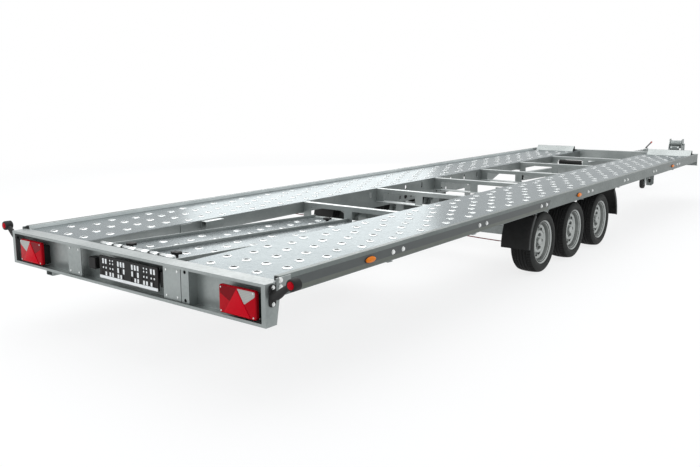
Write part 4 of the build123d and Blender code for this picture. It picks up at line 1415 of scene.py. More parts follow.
@dataclass
class MarkerLamps(Assembly):
    """Outline marker lamps: a rubber arm that bends up and out from its root, a drum and a round lens.

    Attributes:
        root: Distance of the arm's root from the rear face and above the node's foot, in millimetres.
        plate: Length, height and corner of the root's plate, in metres.
        arm: Mean radius of the arm.
        neck: Distance of the arm's end ahead of the lens's middle.
        forward: How far the drum stands ahead of the node's lens.
        drum: Offset from the drum's face and radius of each of its rings, in millimetres.
        lens: Radius of the lens, in millimetres.
        bolts: Bolts of the plate, in millimetres from its middle.
    """

    root: tuple[float, float] = (45.0, 55.0)
    plate: tuple[float, float, float] = (46 * MM, 110 * MM, 20 * MM)
    arm: float = 17 * MM
    neck: float = 28 * MM
    forward: float = 20 * MM
    drum: Table = ((52, 0), (52, 24), (47, 30), (6, 30.5), (0, 29), (-3, 26), (-3, 22), (2, 20), (2, 0))
    lens: float = 20.5
    bolts: Table = ((0, 41, 8), (0, -41, 8))

    def build(self) -> None:
        """Make both lamps in place of their nodes."""
        box, half = Box.of("marker_lenses"), self.layout.half
        lens_x, _, lens_z = box.middle
        lens_y = box.high[1] - box.size[2] / 2
        root_x, root_z = self.layout.x(self.root[0]), Box.of("marker_arms").low[2] + self.root[1] * MM
        route = [
            (root_x, half + 4 * MM, root_z),
            (root_x, half + 40 * MM, root_z + 6 * MM),
            (root_x - 6 * MM, lens_y - 60 * MM, lens_z - 34 * MM),
            (lens_x + self.neck + self.forward, lens_y, lens_z),
        ]
        plate = rounded_rectangle(*self.plate)
        rubber, lens, bolts = Shell(), Shell(), Shell()
        for side in Side:
            mirror = np.array([1, side.value, 1])
            axes = facing((0, side.value, 0))
            root = np.array([root_x, half, root_z]) * mirror
            rubber.slab(plate, [(0, 0), (0, 6 * MM), (3 * MM, 8 * MM)], root, axes)
            path = rounded(np.array(route) * mirror, 40 * MM, 6)
            taper = np.linspace(self.arm + 6 * MM, self.arm - 2 * MM, len(path))
            rubber.capped(tube(path, taper, 14))
            face = np.array([box.high[0] + self.forward, lens_y, lens_z]) * mirror
            self.cup(rubber, lens, face, box.size[0] / MM)
            bolts.stamp(bolt(17 * MM, 7 * MM, 22 * MM), placed(np.array(self.bolts) * MM, root, axes), axes)
        rubber.build("marker_rubber_arms", [Finishes.RUBBER], replaces=["marker_arms"], corner=Corner.SOFT)
        lens.build("marker_red_lenses", [Finishes.RED], replaces=["marker_lenses"], corner=Corner.SOFT)
        bolts.build("marker_bolts", [Finishes.BOLT])

    def cup(self, rubber: Shell, lens: Shell, face: np.ndarray, rise: float) -> None:
        """Drum and lens: profiles turned about Y, with X and Y then swapped.

        Args:
            rubber: Shell of the drum.
            lens: Shell of the lens.
            face: Middle of the drum's rear face.
            rise: How far the lens stands behind the face, in millimetres.
        """
        dome = ((1, 0), (1, self.lens), (-0.45 * rise, self.lens - 0.5), (-0.9 * rise, 14), (-rise, 0))
        for shell, profile, corner, spans in ((rubber, self.drum, 3 * MM, 2), (lens, dome, 4 * MM, 3)):
            surface = turned(rounded(np.array(profile) * MM, corner, spans), 28, (0, 0, 0))
            shell.grid(surface[..., [1, 0, 2]] + face, ring=True)


@dataclass
class SideRails(Assembly):
    """Rails and their fittings: bolt pairs, side lamps, stripe with a slanted end, end plugs.

    Attributes:
        bolt_rows: Middle of each bolt pair, as distance from the rear face, in millimetres.
        bolt_gap: Distance between a pair's bolts, in millimetres.
        bolt_z: Height of the bolts, in metres.
        corner_x: Distance of the corner bolts from the rear face, in millimetres.
        corner_z: Heights of the corner bolts.
        stripe_start: Rear end of the film, in millimetres.
        stripe_end: Front end of the film at half its height, in millimetres.
        stripe_slant: How far the film's front end leans each way.
        stripe_z: Lower and upper edge of the dark band.
        film: Half the film's thickness.
        margin: Distance of the paler band from the rail's foot.
        lip: Width of the rail's top, to its inner lip.
        lamp: Half the length and height of a side lamp's lens.
        lamp_depth: Depth of a side lamp.
        lamp_gap: Least distance between two lamps.
        plug: Length, height and corner of the plug at a rail's end.
        plug_x: Distance of the plug from the rear face, in millimetres.
        plug_drop: Distance of the plug's middle in from the rail's outer face and below its top.
    """

    bolt_rows: tuple[float, ...] = (1120, 2190, 3250, 4310, 5360, 6400, 7430)
    bolt_gap: float = 105.0
    bolt_z: float = 605 * MM
    corner_x: float = 101.0
    corner_z: tuple[float, ...] = (603 * MM, 639 * MM)
    stripe_start: float = 184.0
    stripe_end: float = 3370.0
    stripe_slant: float = 40 * MM
    stripe_z: tuple[float, float] = (586 * MM, 633 * MM)
    film: float = 0.5 * MM
    margin: float = 6 * MM
    lip: float = 24 * MM
    lamp: tuple[float, float] = (46 * MM, 18 * MM)
    lamp_depth: float = 16 * MM
    lamp_gap: float = 0.2
    plug: tuple[float, float, float] = (30 * MM, 22 * MM, 4 * MM)
    plug_x: float = 100.0
    plug_drop: tuple[float, float] = (19 * MM, 13 * MM)

    def build(self) -> None:
        """Dress both rails and add their fittings."""
        layout, head = self.layout, bolt(24 * MM, 9 * MM, 30 * MM)
        pairs = np.array([layout.x(row + way * self.bolt_gap / 2) for row in self.bolt_rows for way in (-1, 1)])
        rows = (
            (pairs, layout.half, self.bolt_z),
            (layout.x(self.corner_x), Box.of("corner_plates").high[1], np.array(self.corner_z)),
        )
        bolts, stripe, lamps, plugs = Shell(), Shell(), Shell(), Shell()
        for side in Side:
            sign = side.value
            axes = facing((0, sign, 0))
            for x, y, z in rows:
                bolts.stamp(head, np.column_stack(np.broadcast_arrays(x, sign * y, z)), axes)
            self.rail(side)
            self.stripe(stripe, sign)
            self.side_lamps(lamps, sign)
            inward, down = self.plug_drop
            spot = (layout.x(self.plug_x), sign * (layout.half - inward), layout.rail_top - down)
            levels = [(0, -30 * MM), (0, 2 * MM), (2 * MM, 4 * MM)]
            plugs.slab(rounded_rectangle(*self.plug), levels, spot, facing(BACK))
        bolts.build("rail_bolts", [Finishes.BOLT])
        stripe.build("rail_stripe", [Finishes.STRIPE, Finishes.BAND])
        finishes = [Finishes.AMBER, Finishes.PLASTIC]
        lamps.build("side_marker_lamps", finishes, replaces=["side_lamps"], corner=Corner.SOFT)
        plugs.build("rail_end_plugs", [Finishes.RUBBER])

    def rail(self, side: Side) -> None:
        """Round a rail's edges, and paint a highlight on its inner lip and shade on the rest.

        Args:
            side: Side of the trailer.
        """
        mesh = soften(f"rail_{side.word}", Finishes.RAIL, 2 * MM, joined=False).data
        mesh.materials.append(Finishes.RUBBED.material())
        centers = np.empty(len(mesh.polygons) * 3)
        mesh.polygons.foreach_get("center", centers)
        # Faces inside the lip take the pale grey as a painted highlight; the rest keep the dark grey as painted shade
        inner = np.abs(centers[1::3]) < self.layout.half - self.lip
        mesh.polygons.foreach_set("material_index", inner.astype(np.int32))

    def stripe(self, shell: Shell, sign: int) -> None:
        """Vinyl film: a flat band with a slanted front end, and a paler band under it.

        Args:
            shell: Shell that takes it.
            sign: Side of the trailer.
        """
        layout, slant = self.layout, self.stripe_slant
        depth = sign * (layout.half + np.array([-self.film, self.film]))
        start, stop = layout.x(self.stripe_start), layout.x(self.stripe_end)
        low, high = self.stripe_z
        for mark, bottom, top in ((0, low, high), (1, layout.rail_bottom + self.margin, low)):
            lean = np.interp([bottom, top], [layout.rail_bottom, layout.rail_top], [-slant, slant])
            outline = [(start, bottom), (stop + lean[0], bottom), (stop + lean[1], top), (start, top)]
            shell.capped(extruded(outline, depth)[..., [0, 2, 1]], mark)

    def side_lamps(self, shell: Shell, sign: int) -> None:
        """Domed oval lenses on thin black bases, one at each cluster of the node's points along X.

        Args:
            shell: Shell that takes them.
            sign: Side of the trailer.
        """
        box, mesh = Box.of("side_lamps"), bpy.data.objects["side_lamps"].data
        points = np.zeros(len(mesh.vertices) * 3)
        mesh.vertices.foreach_get("co", points)
        x = np.sort(points[::3])
        oval = polygon(28, 2.0) * self.lamp
        axes = facing((0, sign, 0))
        dome = [(0, 4 * MM), (0.5 * MM, 8 * MM), (3 * MM, 12 * MM), (8 * MM, 15 * MM), (13 * MM, self.lamp_depth)]
        base = [(0, 0), (0, 4 * MM), (1 * MM, 5 * MM)]
        for cluster in np.split(x, np.flatnonzero(np.diff(x) > self.lamp_gap) + 1):
            middle = (cluster[0] + cluster[-1]) / 2
            origin = (middle, sign * (box.high[1] - self.lamp_depth), box.middle[2])
            shell.slab(oval, dome, origin, axes)
            shell.slab(oval * 1.08, base, origin, axes, mark=1)


@dataclass
class RearFittings(Assembly):
    """What is mounted on the rear frame: number plate holder, plate lamps, rivets.

    Attributes:
        strip_height: Height of the holder's white strip, in metres.
        backing: Thickness of the dark panel set in the holder's lattice, painted shade seen through its slots, and of
            the pale panes on it, painted light.
        inset: Distance of the panel behind the lattice's face.
        lift: Distance of the panes before the panel.
        pitch: Spacing of the lattice's slots.
        panes: Rise, width and height of the pale panes, painted light in the slots, in millimetres, and the slots
            with one, counted each way.
        rivet_x: Distance of the gussets' face from the rear face, in millimetres.
        rivet_y: Y of the rivets in the gussets, in millimetres.
        rivet_z: Heights of the rivets, in millimetres.
    """

    strip_height: float = 17 * MM
    backing: float = 1.5 * MM
    inset: float = 2.5 * MM
    lift: float = 0.8 * MM
    pitch: float = 26 * MM
    panes: tuple[tuple[float, float, float, tuple[float, ...]], ...] = (
        (102, 19, 32, (1.5, 2.5, 3.5, 8, 9)),
        (64, 19, 32, (1.5, 3.5)),
        (30, 19, 26, (2.5, 3.5, 5.5, 6.5, 8)),
        (64, 10, 10, (5.5, 6.5, 8, 9)),
        (111, 9, 9, (5.5, 6.5)),
        (93, 9, 9, (5.5, 6.5)),
    )
    rivet_x: float = 14.0
    rivet_y: tuple[float, ...] = (-500.0, -410.0, 410.0, 500.0)
    rivet_z: tuple[float, ...] = (460.0, 600.0)

    def build(self) -> None:
        """Dress the plate holder and add the small pieces."""
        soften("plate_holder", Finishes.PLASTIC, 1 * MM)
        soften("plate_lamps", Finishes.PLASTIC, 4 * MM)
        self.holder()
        x = self.layout.x(self.rivet_x)
        rivets = Shell()
        seats = [(x, y * MM, z * MM) for y in self.rivet_y for z in self.rivet_z]
        rivets.stamp(bolt(13 * MM, 3 * MM), seats, facing(BACK))
        rivets.build("rear_rivets", [Finishes.BOLT])

    def holder(self) -> None:
        """White strip along the holder's foot, and in its lattice a dark panel of painted shade with pale panes of
        painted light: slabs.
        """
        box = Box.of("plate_holder")
        strip, axes = Shell(), facing(BACK)
        _, width, height = box.size
        face, _, foot = box.low
        _, y, z = box.middle
        bar = rounded_rectangle(width - 4 * MM, self.strip_height, 3 * MM)
        levels = [(0, -1 * MM), (0, 3 * MM), (1.5 * MM, 4 * MM)]
        strip.slab(bar, levels, (face, y, foot + self.strip_height / 2), axes)
        # Dark panel: painted shade seen through the lattice; pale panes on it: painted light
        panel = rounded_rectangle(width - 30 * MM, height - 16 * MM, 4 * MM)
        levels = [(0, -self.backing), (0, -0.3 * MM), (1 * MM, 0)]
        strip.slab(panel, levels, (face + self.inset, y, z), axes, mark=1)
        for rise, across, tall, columns in self.panes:
            pane = rounded_rectangle(across * MM, tall * MM, 1 * MM)
            for column in (*columns, *(-column for column in columns)):
                spot = (face + self.inset - self.lift, y + column * self.pitch, foot + rise * MM)
                strip.slab(pane, [(0, -self.backing), (0, 0)], spot, axes)
        strip.build("plate_strip_and_panel", [Finishes.PLATE_STRIP, Finishes.PLASTIC])


@dataclass
class LoadingRamps(Assembly):
    """Stowed ramps: pressed trays with upturned rims, hook tubes whose slots show a dark core as painted shade, and
    star knobs.

    Attributes:
        width: Width of a tray, in metres.
        gap: Gap between the two trays.
        rear: Distance of the trays' rear end from the rear face, in millimetres.
        rear_z: Height of a tray's underside at its rear end.
        length: Length of a tray.
        fall: Slope of the trays, nose down, in degrees.
        sheet: Thickness.
        rim: Height of the rims.
        rows: Rows of holes in turn, as shares of the width.
        blocked: Hole of the right tray that a knob stands on, along and across it.
        knob: Distance within which a knob closes a hole.
        hook: Radius of the hook tube.
        hook_line: Middle of the hook tube on its tray.
        hook_bevel: Bevel at the ends of the tube's bright lengths.
        segments: Start and end of the tube's lengths with the painted highlight, as shares of the width.
        core: Ends and radius of the tube's dark core, painted shade in the slots, as shares of the width and of the
            tube's radius.
    """

    width: float = 334 * MM
    gap: float = 6 * MM
    rear: float = 112.0
    rear_z: float = 600 * MM
    length: float = 2033 * MM
    fall: float = 2.529
    sheet: float = 4 * MM
    rim: float = 25 * MM
    rows: Table = ((0.28, 0.72), (0.5,))
    blocked: tuple[float, float] = (81.25 * MM, -73.5 * MM)
    knob: float = 10 * MM
    hook: float = 14 * MM
    hook_line: tuple[float, float, float] = (18 * MM, 0.0, 31 * MM)
    hook_bevel: float = 1.5 * MM
    segments: Table = ((0.0, 0.34), (0.40, 0.60), (0.66, 1.0))
    core: Table = ((-0.49, 0), (-0.49, 0.8), (0.49, 0.8), (0.49, 0))

    def build(self) -> None:
        """Make both trays in place of the node and dress the knobs."""
        shell = Shell()
        for side in Side:
            self.tray(shell, side)
        # Hole walls and the hook tubes' core take painted shade, collars and the tubes' lengths a painted highlight
        finishes = [Finishes.RAMP, Finishes.PUNCHED, Finishes.BURNISHED, Finishes.FRAME]
        shell.build("ramps_pressed", finishes, replaces=["ramps"], corner=Corner.SOFT)
        soften("ramp_knobs", Finishes.PLASTIC, 2 * MM)

    def tray(self, shell: Shell, side: Side) -> None:
        """One tray: a pressed sheet, a rim along each edge and a hook tube across the rear.

        Local points lean about Y by the fall and move to the tray's rear end. A cell without a hole is its
        outline carried through the thickness.

        Args:
            shell: Shell that takes it.
            side: Side of the well.
        """
        lean = math.radians(self.fall)
        cos, sin = math.cos(lean), math.sin(lean)
        turn = np.array([[cos, 0, -sin], [0, 1, 0], [sin, 0, cos]])
        origin = (self.layout.x(self.rear), side.value * (self.width + self.gap) / 2, self.rear_z)

        def seat(points: np.ndarray) -> np.ndarray:
            """Local points at their place."""
            return points @ turn + np.array(origin)

        holes = GripHoles(thickness=self.sheet)
        ends, edges = (0.0, self.length), (-self.width / 2, self.width / 2)
        cells = holes.cells(ends, edges, holes.pitch / 2, self.rows, holes.pitch / 2)
        if side is Side.RIGHT:
            closed = np.linalg.norm(cells[:, 4:6] - self.blocked, axis=1) < self.knob
            for x0, x1, y0, y1, *_ in cells[closed]:
                shell.capped(seat(extruded([(x0, y0), (x1, y0), (x1, y1), (x0, y1)], (0.0, self.sheet))))
            cells = cells[~closed]
        holes.press(shell, cells, lambda points: seat(points + (0, 0, self.sheet)))
        strip = rounded_rectangle(self.sheet, self.rim, 1.8 * MM, 3)
        for sign in (-1, 1):
            section = strip + (sign * (self.width - self.sheet) / 2, self.rim / 2)
            shell.capped(seat(extruded(section, ends)[..., [2, 0, 1]]), SheetMark.RIM)
        self.hooks(shell, seat)

    def hooks(self, shell: Shell, seat: Seat) -> None:
        """Hook tube in lengths with a painted highlight over a dark core of painted shade, turned about a line across
        the tray.

        Args:
            shell: Shell that takes it.
            seat: Moves local points to their place.
        """
        bevel, radius = self.hook_bevel, self.hook
        for start, stop in self.segments:
            a, b = (np.array([start, stop]) - 0.5) * self.width
            half = [(a, 0), (a, radius - bevel), (a + bevel, radius)]
            profile = [*half, (b - bevel, radius), (b, radius - bevel), (b, 0)]
            shell.grid(seat(turned(profile, 20, self.hook_line)), mark=SheetMark.COLLAR, ring=True)
        core = np.array(self.core) * (self.width, radius)
        shell.grid(seat(turned(core, 20, self.hook_line)), mark=SheetMark.BORE, ring=True)


@dataclass
class Coupling(Assembly):
    """Nose of the drawbar: housing with its bolts, bellows, head with its handle, brake lever with a red grip.

    Attributes:
        lever: Run and rise of the brake lever, in millimetres.
        grip_end: Distance of the grip's end behind and below the lever's upper end, in metres.
        grip_length: Length of the lever's grip.
        grip_radius: Radius of the grip.
        grip_waves: Finger waves along the grip.
        wave: Height of a wave, as a share of the radius.
        handle: Route of the head's handle, from the middle of the head's top, along X and up, in millimetres.
        handle_radius: Radius of the handle.
        bolts: Place of the housing's bolts, as shares of its length.
    """

    lever: tuple[float, float] = (295.0, 70.0)
    grip_end: tuple[float, float] = (4 * MM, 12 * MM)
    grip_length: float = 62 * MM
    grip_radius: float = 12 * MM
    grip_waves: int = 3
    wave: float = 0.07
    handle: Table = ((38, -10), (30, 22), (6, 38), (-66, 46))
    handle_radius: float = 9 * MM
    bolts: tuple[float, float] = (0.2, 0.55)

    def build(self) -> None:
        """Dress the coupling's nodes and add the lever's grip, the handle and the bolts."""
        soften("coupling_housing", Finishes.CAST, 6 * MM)
        soften("coupling_head", Finishes.CAST, 3 * MM)
        dress("coupling_bellows", Finishes.RUBBER)
        soften("brake_lever", Finishes.LEVER, 2 * MM)
        self.grip()
        self.fittings()

    def grip(self) -> None:
        """Grip on the lever's upper end: a tube whose radius swells and shrinks as a sine along it."""
        box = Box.of("brake_lever")
        slope = math.atan2(self.lever[1], self.lever[0])
        behind, below = self.grip_end
        stop = np.array([box.high[0] - behind, box.middle[1], box.high[2] - below])
        start = stop - self.grip_length * np.array([math.cos(slope), 0, math.sin(slope)])
        run = np.linspace(0, 1, 4 * self.grip_waves + 1)
        ends = np.where((run == 0) | (run == 1), 0.8, 1)
        swell = self.grip_radius * (1 + self.wave * np.sin(run * TAU * self.grip_waves)) * ends
        grip = Shell()
        grip.capped(tube(start + (stop - start) * run[:, None], swell, 14))
        grip.build("brake_lever_grip", [Finishes.GRIP], corner=Corner.SOFT)

    def fittings(self) -> None:
        """Bent round handle on the head, and two bolts on the housing."""
        head, housing = Box.of("coupling_head"), Box.of("coupling_housing")
        top = (head.middle[0], head.middle[1], head.high[2])
        path = rounded(np.array([(x, 0, z) for x, z in self.handle]) * MM + top, 18 * MM, 5)
        taper = np.full(len(path), self.handle_radius)
        taper[-1] *= 0.7
        handle = Shell()
        handle.capped(tube(path, taper, 12))
        handle.build("coupling_handle", [Finishes.LEVER], corner=Corner.SOFT)
        x = np.array(self.bolts) * housing.size[0] + housing.low[0]
        seats = np.column_stack(np.broadcast_arrays(x, housing.middle[1], housing.high[2] - 1 * MM))
        bolts = Shell()
        bolts.stamp(bolt(26 * MM, 12 * MM, 34 * MM), seats, np.eye(3))
        bolts.build("coupling_bolts", [Finishes.BOLT])


@dataclass
class Winch(Assembly):
    """Hand winch on the front beam: the frame's cheeks and drum, a wound rope, a tie plate and its bolts.

    Attributes:
        shaft: Height of the drum's shaft above the frame's foot, in metres.
        rope: Radius of the winch rope.
        turns: Turns side by side.
        layer: Radius of the rope's outer layer.
        core: Radius of the rope's inner layer.
        plate: Width, lower and upper height of the tie plate above the beam.
        plate_x: Distance of the plate ahead of the frame's rear edge.
        bolts: Bolts of the plate, in millimetres from its middle.
    """

    shaft: float = 118 * MM
    rope: float = 4.5 * MM
    turns: int = 14
    layer: float = 54 * MM
    core: float = 40 * MM
    plate: tuple[float, float, float] = (124 * MM, 12 * MM, 98 * MM)
    plate_x: float = 12 * MM
    bolts: Table = ((-44, -22, 0), (44, -22, 0), (-44, 22, 0), (44, 22, 0))

    def build(self) -> None:
        """Dress the drum and add the rope and the plate."""
        soften("winch_drum", Finishes.FRAME, 1 * MM, "winch_drum")
        box = Box.of("winch_frame")
        self.winding(np.array([box.middle[0], box.middle[1], box.low[2] + self.shaft]))
        width, bottom, top = self.plate
        origin = (box.low[0] + self.plate_x, box.middle[1], box.low[2] + (top + bottom) / 2)
        axes = facing(BACK)
        plate = Shell()
        outline = rounded_rectangle(width, top - bottom, 10 * MM)
        plate.slab(outline, [(0, -5 * MM), (0, -1 * MM), (1.5 * MM, 0)], origin, axes)
        seats = placed(np.array(self.bolts) * MM, origin, axes)
        plate.stamp(bolt(15 * MM, 6 * MM, 20 * MM), seats, axes, mark=1)
        plate.build("winch_tie_plate", [Finishes.FRAME, Finishes.BOLT])

    def winding(self, middle: np.ndarray) -> None:
        """Rope wound on the drum: its outline swells by half a circle at each turn, carried round the shaft.

        Args:
            middle: Middle of the drum.
        """
        share = np.linspace(0, 1, self.turns * 8 + 1)
        offset = (share - 0.5) * self.turns * 2 * self.rope
        radius = self.layer - self.rope + self.rope * np.abs(np.sin(share * math.pi * self.turns))
        start, stop = (offset[0], self.core), (offset[-1], self.core)
        shell = Shell()
        shell.revolve(np.vstack([start, np.column_stack([offset, radius]), stop, start]), 40, middle)
        shell.build("winch_rope", [Finishes.FRAME], "winch_drum", corner=Corner.ROUND)


@dataclass
class Running(Assembly):
    """Jockey wheel, the dark cross tube with its bright end caps, and pads behind the hanger plates.

    Attributes:
        hub: Offset beyond the jockey wheel's side and radius of each ring of its bored hub, in millimetres.
        pad: Width, height and thickness of a pad, in metres.
        pad_in: Distance of a pad's middle from the plate's outer edge.
        pad_up: Distance of a pad from the plate's foot.
    """

    hub: Table = ((-8, 11), (-8, 34), (0.3, 34), (1.0, 31), (0.4, 20), (1.2, 17), (1.2, 11), (-8, 11))
    pad: tuple[float, float, float] = (44 * MM, 70 * MM, 6 * MM)
    pad_in: float = 40 * MM
    pad_up: float = 10 * MM

    def build(self) -> None:
        """Dress the nodes and add the caps, the hubs and the pads."""
        for node in ("jack_leg", "jack_fork"):
            soften(node, Finishes.FRAME, 1 * MM, node)
        dress("jack_wheel", Finishes.RUBBER)
        dress("cross_tube", Finishes.PLASTIC)
        box = Box.of("cross_tube")
        radius = box.size[2] / 2
        dome = [(-4 * MM, 0), (-4 * MM, radius), (4 * MM, radius + 1 * MM), (6 * MM, radius * 0.8), (6 * MM, 0)]
        caps = self.ends(box, rounded(dome, 2 * MM, 2))
        caps.build("cross_tube_caps", [Finishes.BOLT], corner=Corner.SOFT)
        hubs = self.ends(Box.of("jack_wheel"), np.array(self.hub) * MM)
        hubs.build("jack_wheel_hubs", [Finishes.FRAME], "jack_wheel", corner=Corner.CRISP)
        self.pads()

    def ends(self, box: Box, profile: np.ndarray) -> Shell:
        """Profile turned about the line across an extent, once at each end of it.

        Args:
            box: Extent.
            profile: Offset beyond the end and radius, one row per point.

        Returns:
            Shell with both ends.
        """
        shell = Shell()
        for y, sign in ((box.low[1], -1), (box.high[1], 1)):
            shell.revolve(profile, 28, box.middle * (1, 0, 1) + (0, y, 0), sign)
        return shell

    def pads(self) -> None:
        """Rubber pads on the hanger plates' front: slabs."""
        box = Box.of("hanger_plates")
        width, height, depth = self.pad
        outline = rounded_rectangle(width, height, 6 * MM)
        levels = [(0, 0), (0, depth * 0.7), (2 * MM, depth)]
        pads = Shell()
        for side in Side:
            y, z = side.value * (box.high[1] - self.pad_in), box.low[2] + self.pad_up + height / 2
            pads.slab(outline, levels, (box.high[0], y, z), facing((1, 0, 0)))
        pads.build("hanger_pads", [Finishes.RUBBER], corner=Corner.SOFT)


@dataclass
class Cables(Assembly):
    """Brake cables and the left tail lamp's lead, each one smooth spline.

    Attributes:
        brake: Route of the right brake cable, as distance from the rear face, Y and Z, in millimetres.
        brake_diameter: Diameter of a brake cable, in metres.
        brake_length: Length of a brake cable; not used.
        lead: Route of the lamp's lead, in the same measures.
        lead_diameter: Diameter of the lead.
        lead_length: Length of the lead; not used.
    """

    brake: Table = ((2172.0, -834.0, 524.0), (2790.0, -834.0, 368.0), (3405.5, -834.0, 232.25))
    brake_diameter: float = 8 * MM
    brake_length: float = 1267 * MM
    lead: Table = ((34.0, 1145.0, 588.0), (20.0, 1125.0, 588.0), (14.0, 1100.0, 572.0), (36.0, 1072.0, 556.0))
    lead_diameter: float = 7 * MM
    lead_length: float = 92 * MM

    def build(self) -> None:
        """Lay every cable."""
        rear = (self.layout.rear, 0, 0)
        pair = []
        for side in Side:
            route = np.array(self.brake) * MM * (1, -side.value, 1) + rear
            pair.append(self.lay(f"brake_cable_{side.word}", route, self.brake_diameter, Finishes.CABLE))
        for cable in pair:
            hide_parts("brake_cables")
        route = np.array(self.lead) * MM + rear
        lead = self.lay("left_lamp_lead", route, self.lead_diameter, Finishes.RUBBER)

    def lay(self, name: str, route: np.ndarray, diameter: float, finish: Finish) -> bpy.types.Object:
        """Round cable on a spline that has the route's points as its control points.

        Args:
            name: Object's name.
            route: Control points.
            diameter: Cable's diameter.
            finish: Its finish.

        Returns:
            The curve.
        """
        curve = bpy.data.curves.new(name, "CURVE")
        curve.dimensions = "3D"
        curve.bevel_depth = diameter / 2
        curve.bevel_resolution = 4
        curve.use_fill_caps = True
        spline = curve.splines.new("NURBS")
        spline.points.add(len(route) - 1)
        spline.points.foreach_set("co", np.column_stack([route, np.ones(len(route))]).ravel())
        spline.order_u = 3
        spline.use_endpoint_u = True
        spline.resolution_u = 16
        curve.materials.append(finish.material())
        return enter(bpy.data.objects.new(name, curve), CHASSIS, finish)


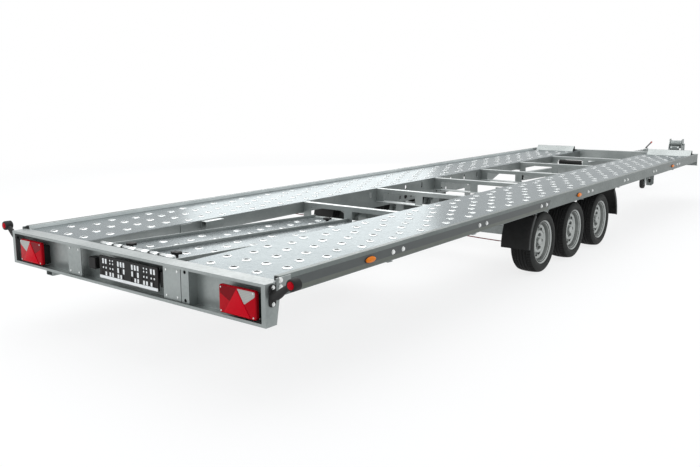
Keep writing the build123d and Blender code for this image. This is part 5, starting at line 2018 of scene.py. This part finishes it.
@dataclass
class Studio:
    """Pale floor, soft light and the camera.

    Attributes:
        eye: Camera's place.
        yaw: Direction of view from +X towards +Y, in degrees.
        pitch: Angle above the level, in degrees.
        roll: Turn about the view, in degrees.
        focal: Focal length, in pixels of the photograph.
        axis: Pixel where the view's axis meets the picture.
        frame: Picture's width and height in pixels.
        sensor: Width of the camera's sensor, in millimetres.
        sight: Farthest distance that the camera sees, in metres.
        floor_half: Half the floor's width.
        softboxes: Name, place, aim, width and height, and power in watts of each lamp.
    """

    eye: tuple[float, float, float] = (-7.585, -3.462, 1.518)
    yaw: float = 38.88
    pitch: float = -9.02
    roll: float = -0.479
    focal: float = 732.3
    axis: tuple[float, float] = (328.2, 209.0)
    frame: tuple[int, int] = (700, 467)
    sensor: float = 36.0
    sight: float = 200.0
    floor_half: float = 60.0
    softboxes: tuple[tuple, ...] = (
        ("top_softbox", (-1.0, 1.5, 7.0), (0.0, 0.0, 0.0), (9.0, 9.0), 420.0),
        ("rear_softbox", (-11.0, 4.0, 4.0), (-3.0, 0.0, 0.5), (5.0, 5.0), 150.0),
        ("far_softbox", (4.0, 6.3, 2.5), (-2.4, -0.5, 0.6), (5.2, 2.4), 86.0),
    )

    def build(self) -> None:
        """Set up floor, world, lamps and camera."""
        bpy.context.scene.view_settings.view_transform = "Standard"
        self.floor()
        self.world()
        self.lamps()
        self.camera()

    def floor(self) -> None:
        """White floor that keeps a light shadow."""
        mesh = bpy.data.meshes.new("studio_floor")
        corners = extruded(np.array([(-1, -1), (1, -1), (1, 1), (-1, 1)]) * self.floor_half, [0.0])[0]
        mesh.from_pydata(corners, [], [(0, 1, 2, 3)])
        floor = bpy.data.objects.new("studio_floor", mesh)
        bpy.context.scene.collection.objects.link(floor)
        # Studio floor: matte pale sheet that turns into a white backdrop far off
        material = bpy.data.materials.new("pale_studio_floor")
        tree = blank(material)
        far = add_node(tree, "VectorMath", {0: add_node(tree, "TexCoord", {}, "Object")}, "Value", operation="LENGTH")
        reach = {"Value": far, "From Min": 6.0, "From Max": 13.0, "To Min": 0.8, "To Max": 1.0}
        fade = add_node(tree, "MapRange", reach, interpolation_type="SMOOTHSTEP")
        parts = {
            0: add_node(tree, "Math", {0: self.seen(tree), 1: fade}, operation="MULTIPLY"),
            1: add_node(tree, "BsdfDiffuse", {"Color": linear("#e8e8e8")}),
            2: add_node(tree, "Emission", {"Color": linear("#ffffff"), "Strength": 1.0}),
        }
        add_node(tree, "OutputMaterial", {"Surface": add_node(tree, "MixShader", parts)})
        mesh.materials.append(material)

    def seen(self, tree: Tree) -> Socket:
        """Tell where the backdrop is seen, straight on, in gloss or through a lens.

        Args:
            tree: Node tree that takes the nodes.

        Returns:
            Socket that is one there.
        """
        found = add_node(tree, "LightPath", {}, "Is Camera Ray")
        for ray in ("Is Glossy Ray", "Is Transmission Ray"):
            found = add_node(tree, "Math", {0: found, 1: add_node(tree, "LightPath", {}, ray)}, operation="MAXIMUM")
        return found

    def world(self) -> None:
        """White backdrop where it is seen, and a soft sky that dims towards the level as light."""
        world = bpy.data.worlds.new("soft_studio")
        bpy.context.scene.world = world
        tree = blank(world)
        height = add_node(tree, "SeparateXYZ", {0: add_node(tree, "TexCoord", {}, "Generated")}, "Z")
        level = {"Value": height, "From Min": 0.0, "From Max": 0.45, "To Min": 0.42, "To Max": 1.0}
        dim = add_node(tree, "MapRange", level, interpolation_type="SMOOTHSTEP")
        parts = {
            0: self.seen(tree),
            1: add_node(tree, "Background", {"Color": linear("#f4f8fc"), "Strength": dim}),
            2: add_node(tree, "Background", {"Color": linear("#ffffff"), "Strength": 1.0}),
        }
        add_node(tree, "OutputWorld", {"Surface": add_node(tree, "MixShader", parts)})

    def lamps(self) -> None:
        """Broad lamps above and behind, and a long low one on the far side that the deck mirrors."""
        for name, place, aim, size, power in self.softboxes:
            lamp = bpy.data.lights.new(name, "AREA")
            lamp.shape = "RECTANGLE"
            lamp.size, lamp.size_y = size
            lamp.energy = power
            self.place(bpy.data.objects.new(name, lamp), place, facing(np.array(place) - aim))

    def camera(self) -> None:
        """Camera with the photograph's direction, focal length and centre."""
        lens = bpy.data.cameras.new("photo_camera")
        width, height = self.frame
        lens.sensor_width = self.sensor
        lens.lens = self.focal / width * self.sensor
        lens.shift_x = (width / 2 - self.axis[0]) / width
        lens.shift_y = (self.axis[1] - height / 2) / width
        lens.clip_end = self.sight
        yaw, pitch, roll = np.radians([self.yaw, self.pitch, self.roll])
        view = np.array([np.cos(yaw) * np.cos(pitch), np.sin(yaw) * np.cos(pitch), np.sin(pitch)])
        turn = np.array([[np.cos(roll), -np.sin(roll), 0], [np.sin(roll), np.cos(roll), 0], [0, 0, 1]])
        holder = bpy.data.objects.new("photo_camera", lens)
        self.place(holder, self.eye, facing(-view) @ turn)
        bpy.context.scene.camera = holder

    def place(self, holder: bpy.types.Object, origin: Point, axes: np.ndarray) -> None:
        """Put a lamp or camera into the scene.

        Args:
            holder: Lamp or camera.
            origin: Its place.
            axes: Its axes as columns.
        """
        bpy.context.scene.collection.objects.link(holder)
        matrix = np.eye(4)
        matrix[:3, :3] = axes
        matrix[:3, 3] = origin
        holder.matrix_world = Matrix(matrix.tolist())


def main() -> None:
    """Build every sub-assembly in order."""
    logging.basicConfig(level=logging.INFO, format="%(name)s %(message)s")
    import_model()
    layout = Layout.read()
    TrailerFrame(layout).build()
    for side in Side:
        DeckTrack(layout, side).build()
        for number in AXLES:
            Wheel(layout, side, number).build()
    for part in (
        Mudguards, TailLamps, MarkerLamps, SideRails, RearFittings, LoadingRamps, Coupling, Winch, Running, Cables,
    ):
        part(layout).build()
    Studio().build()


if __name__ == "__main__":
    main()
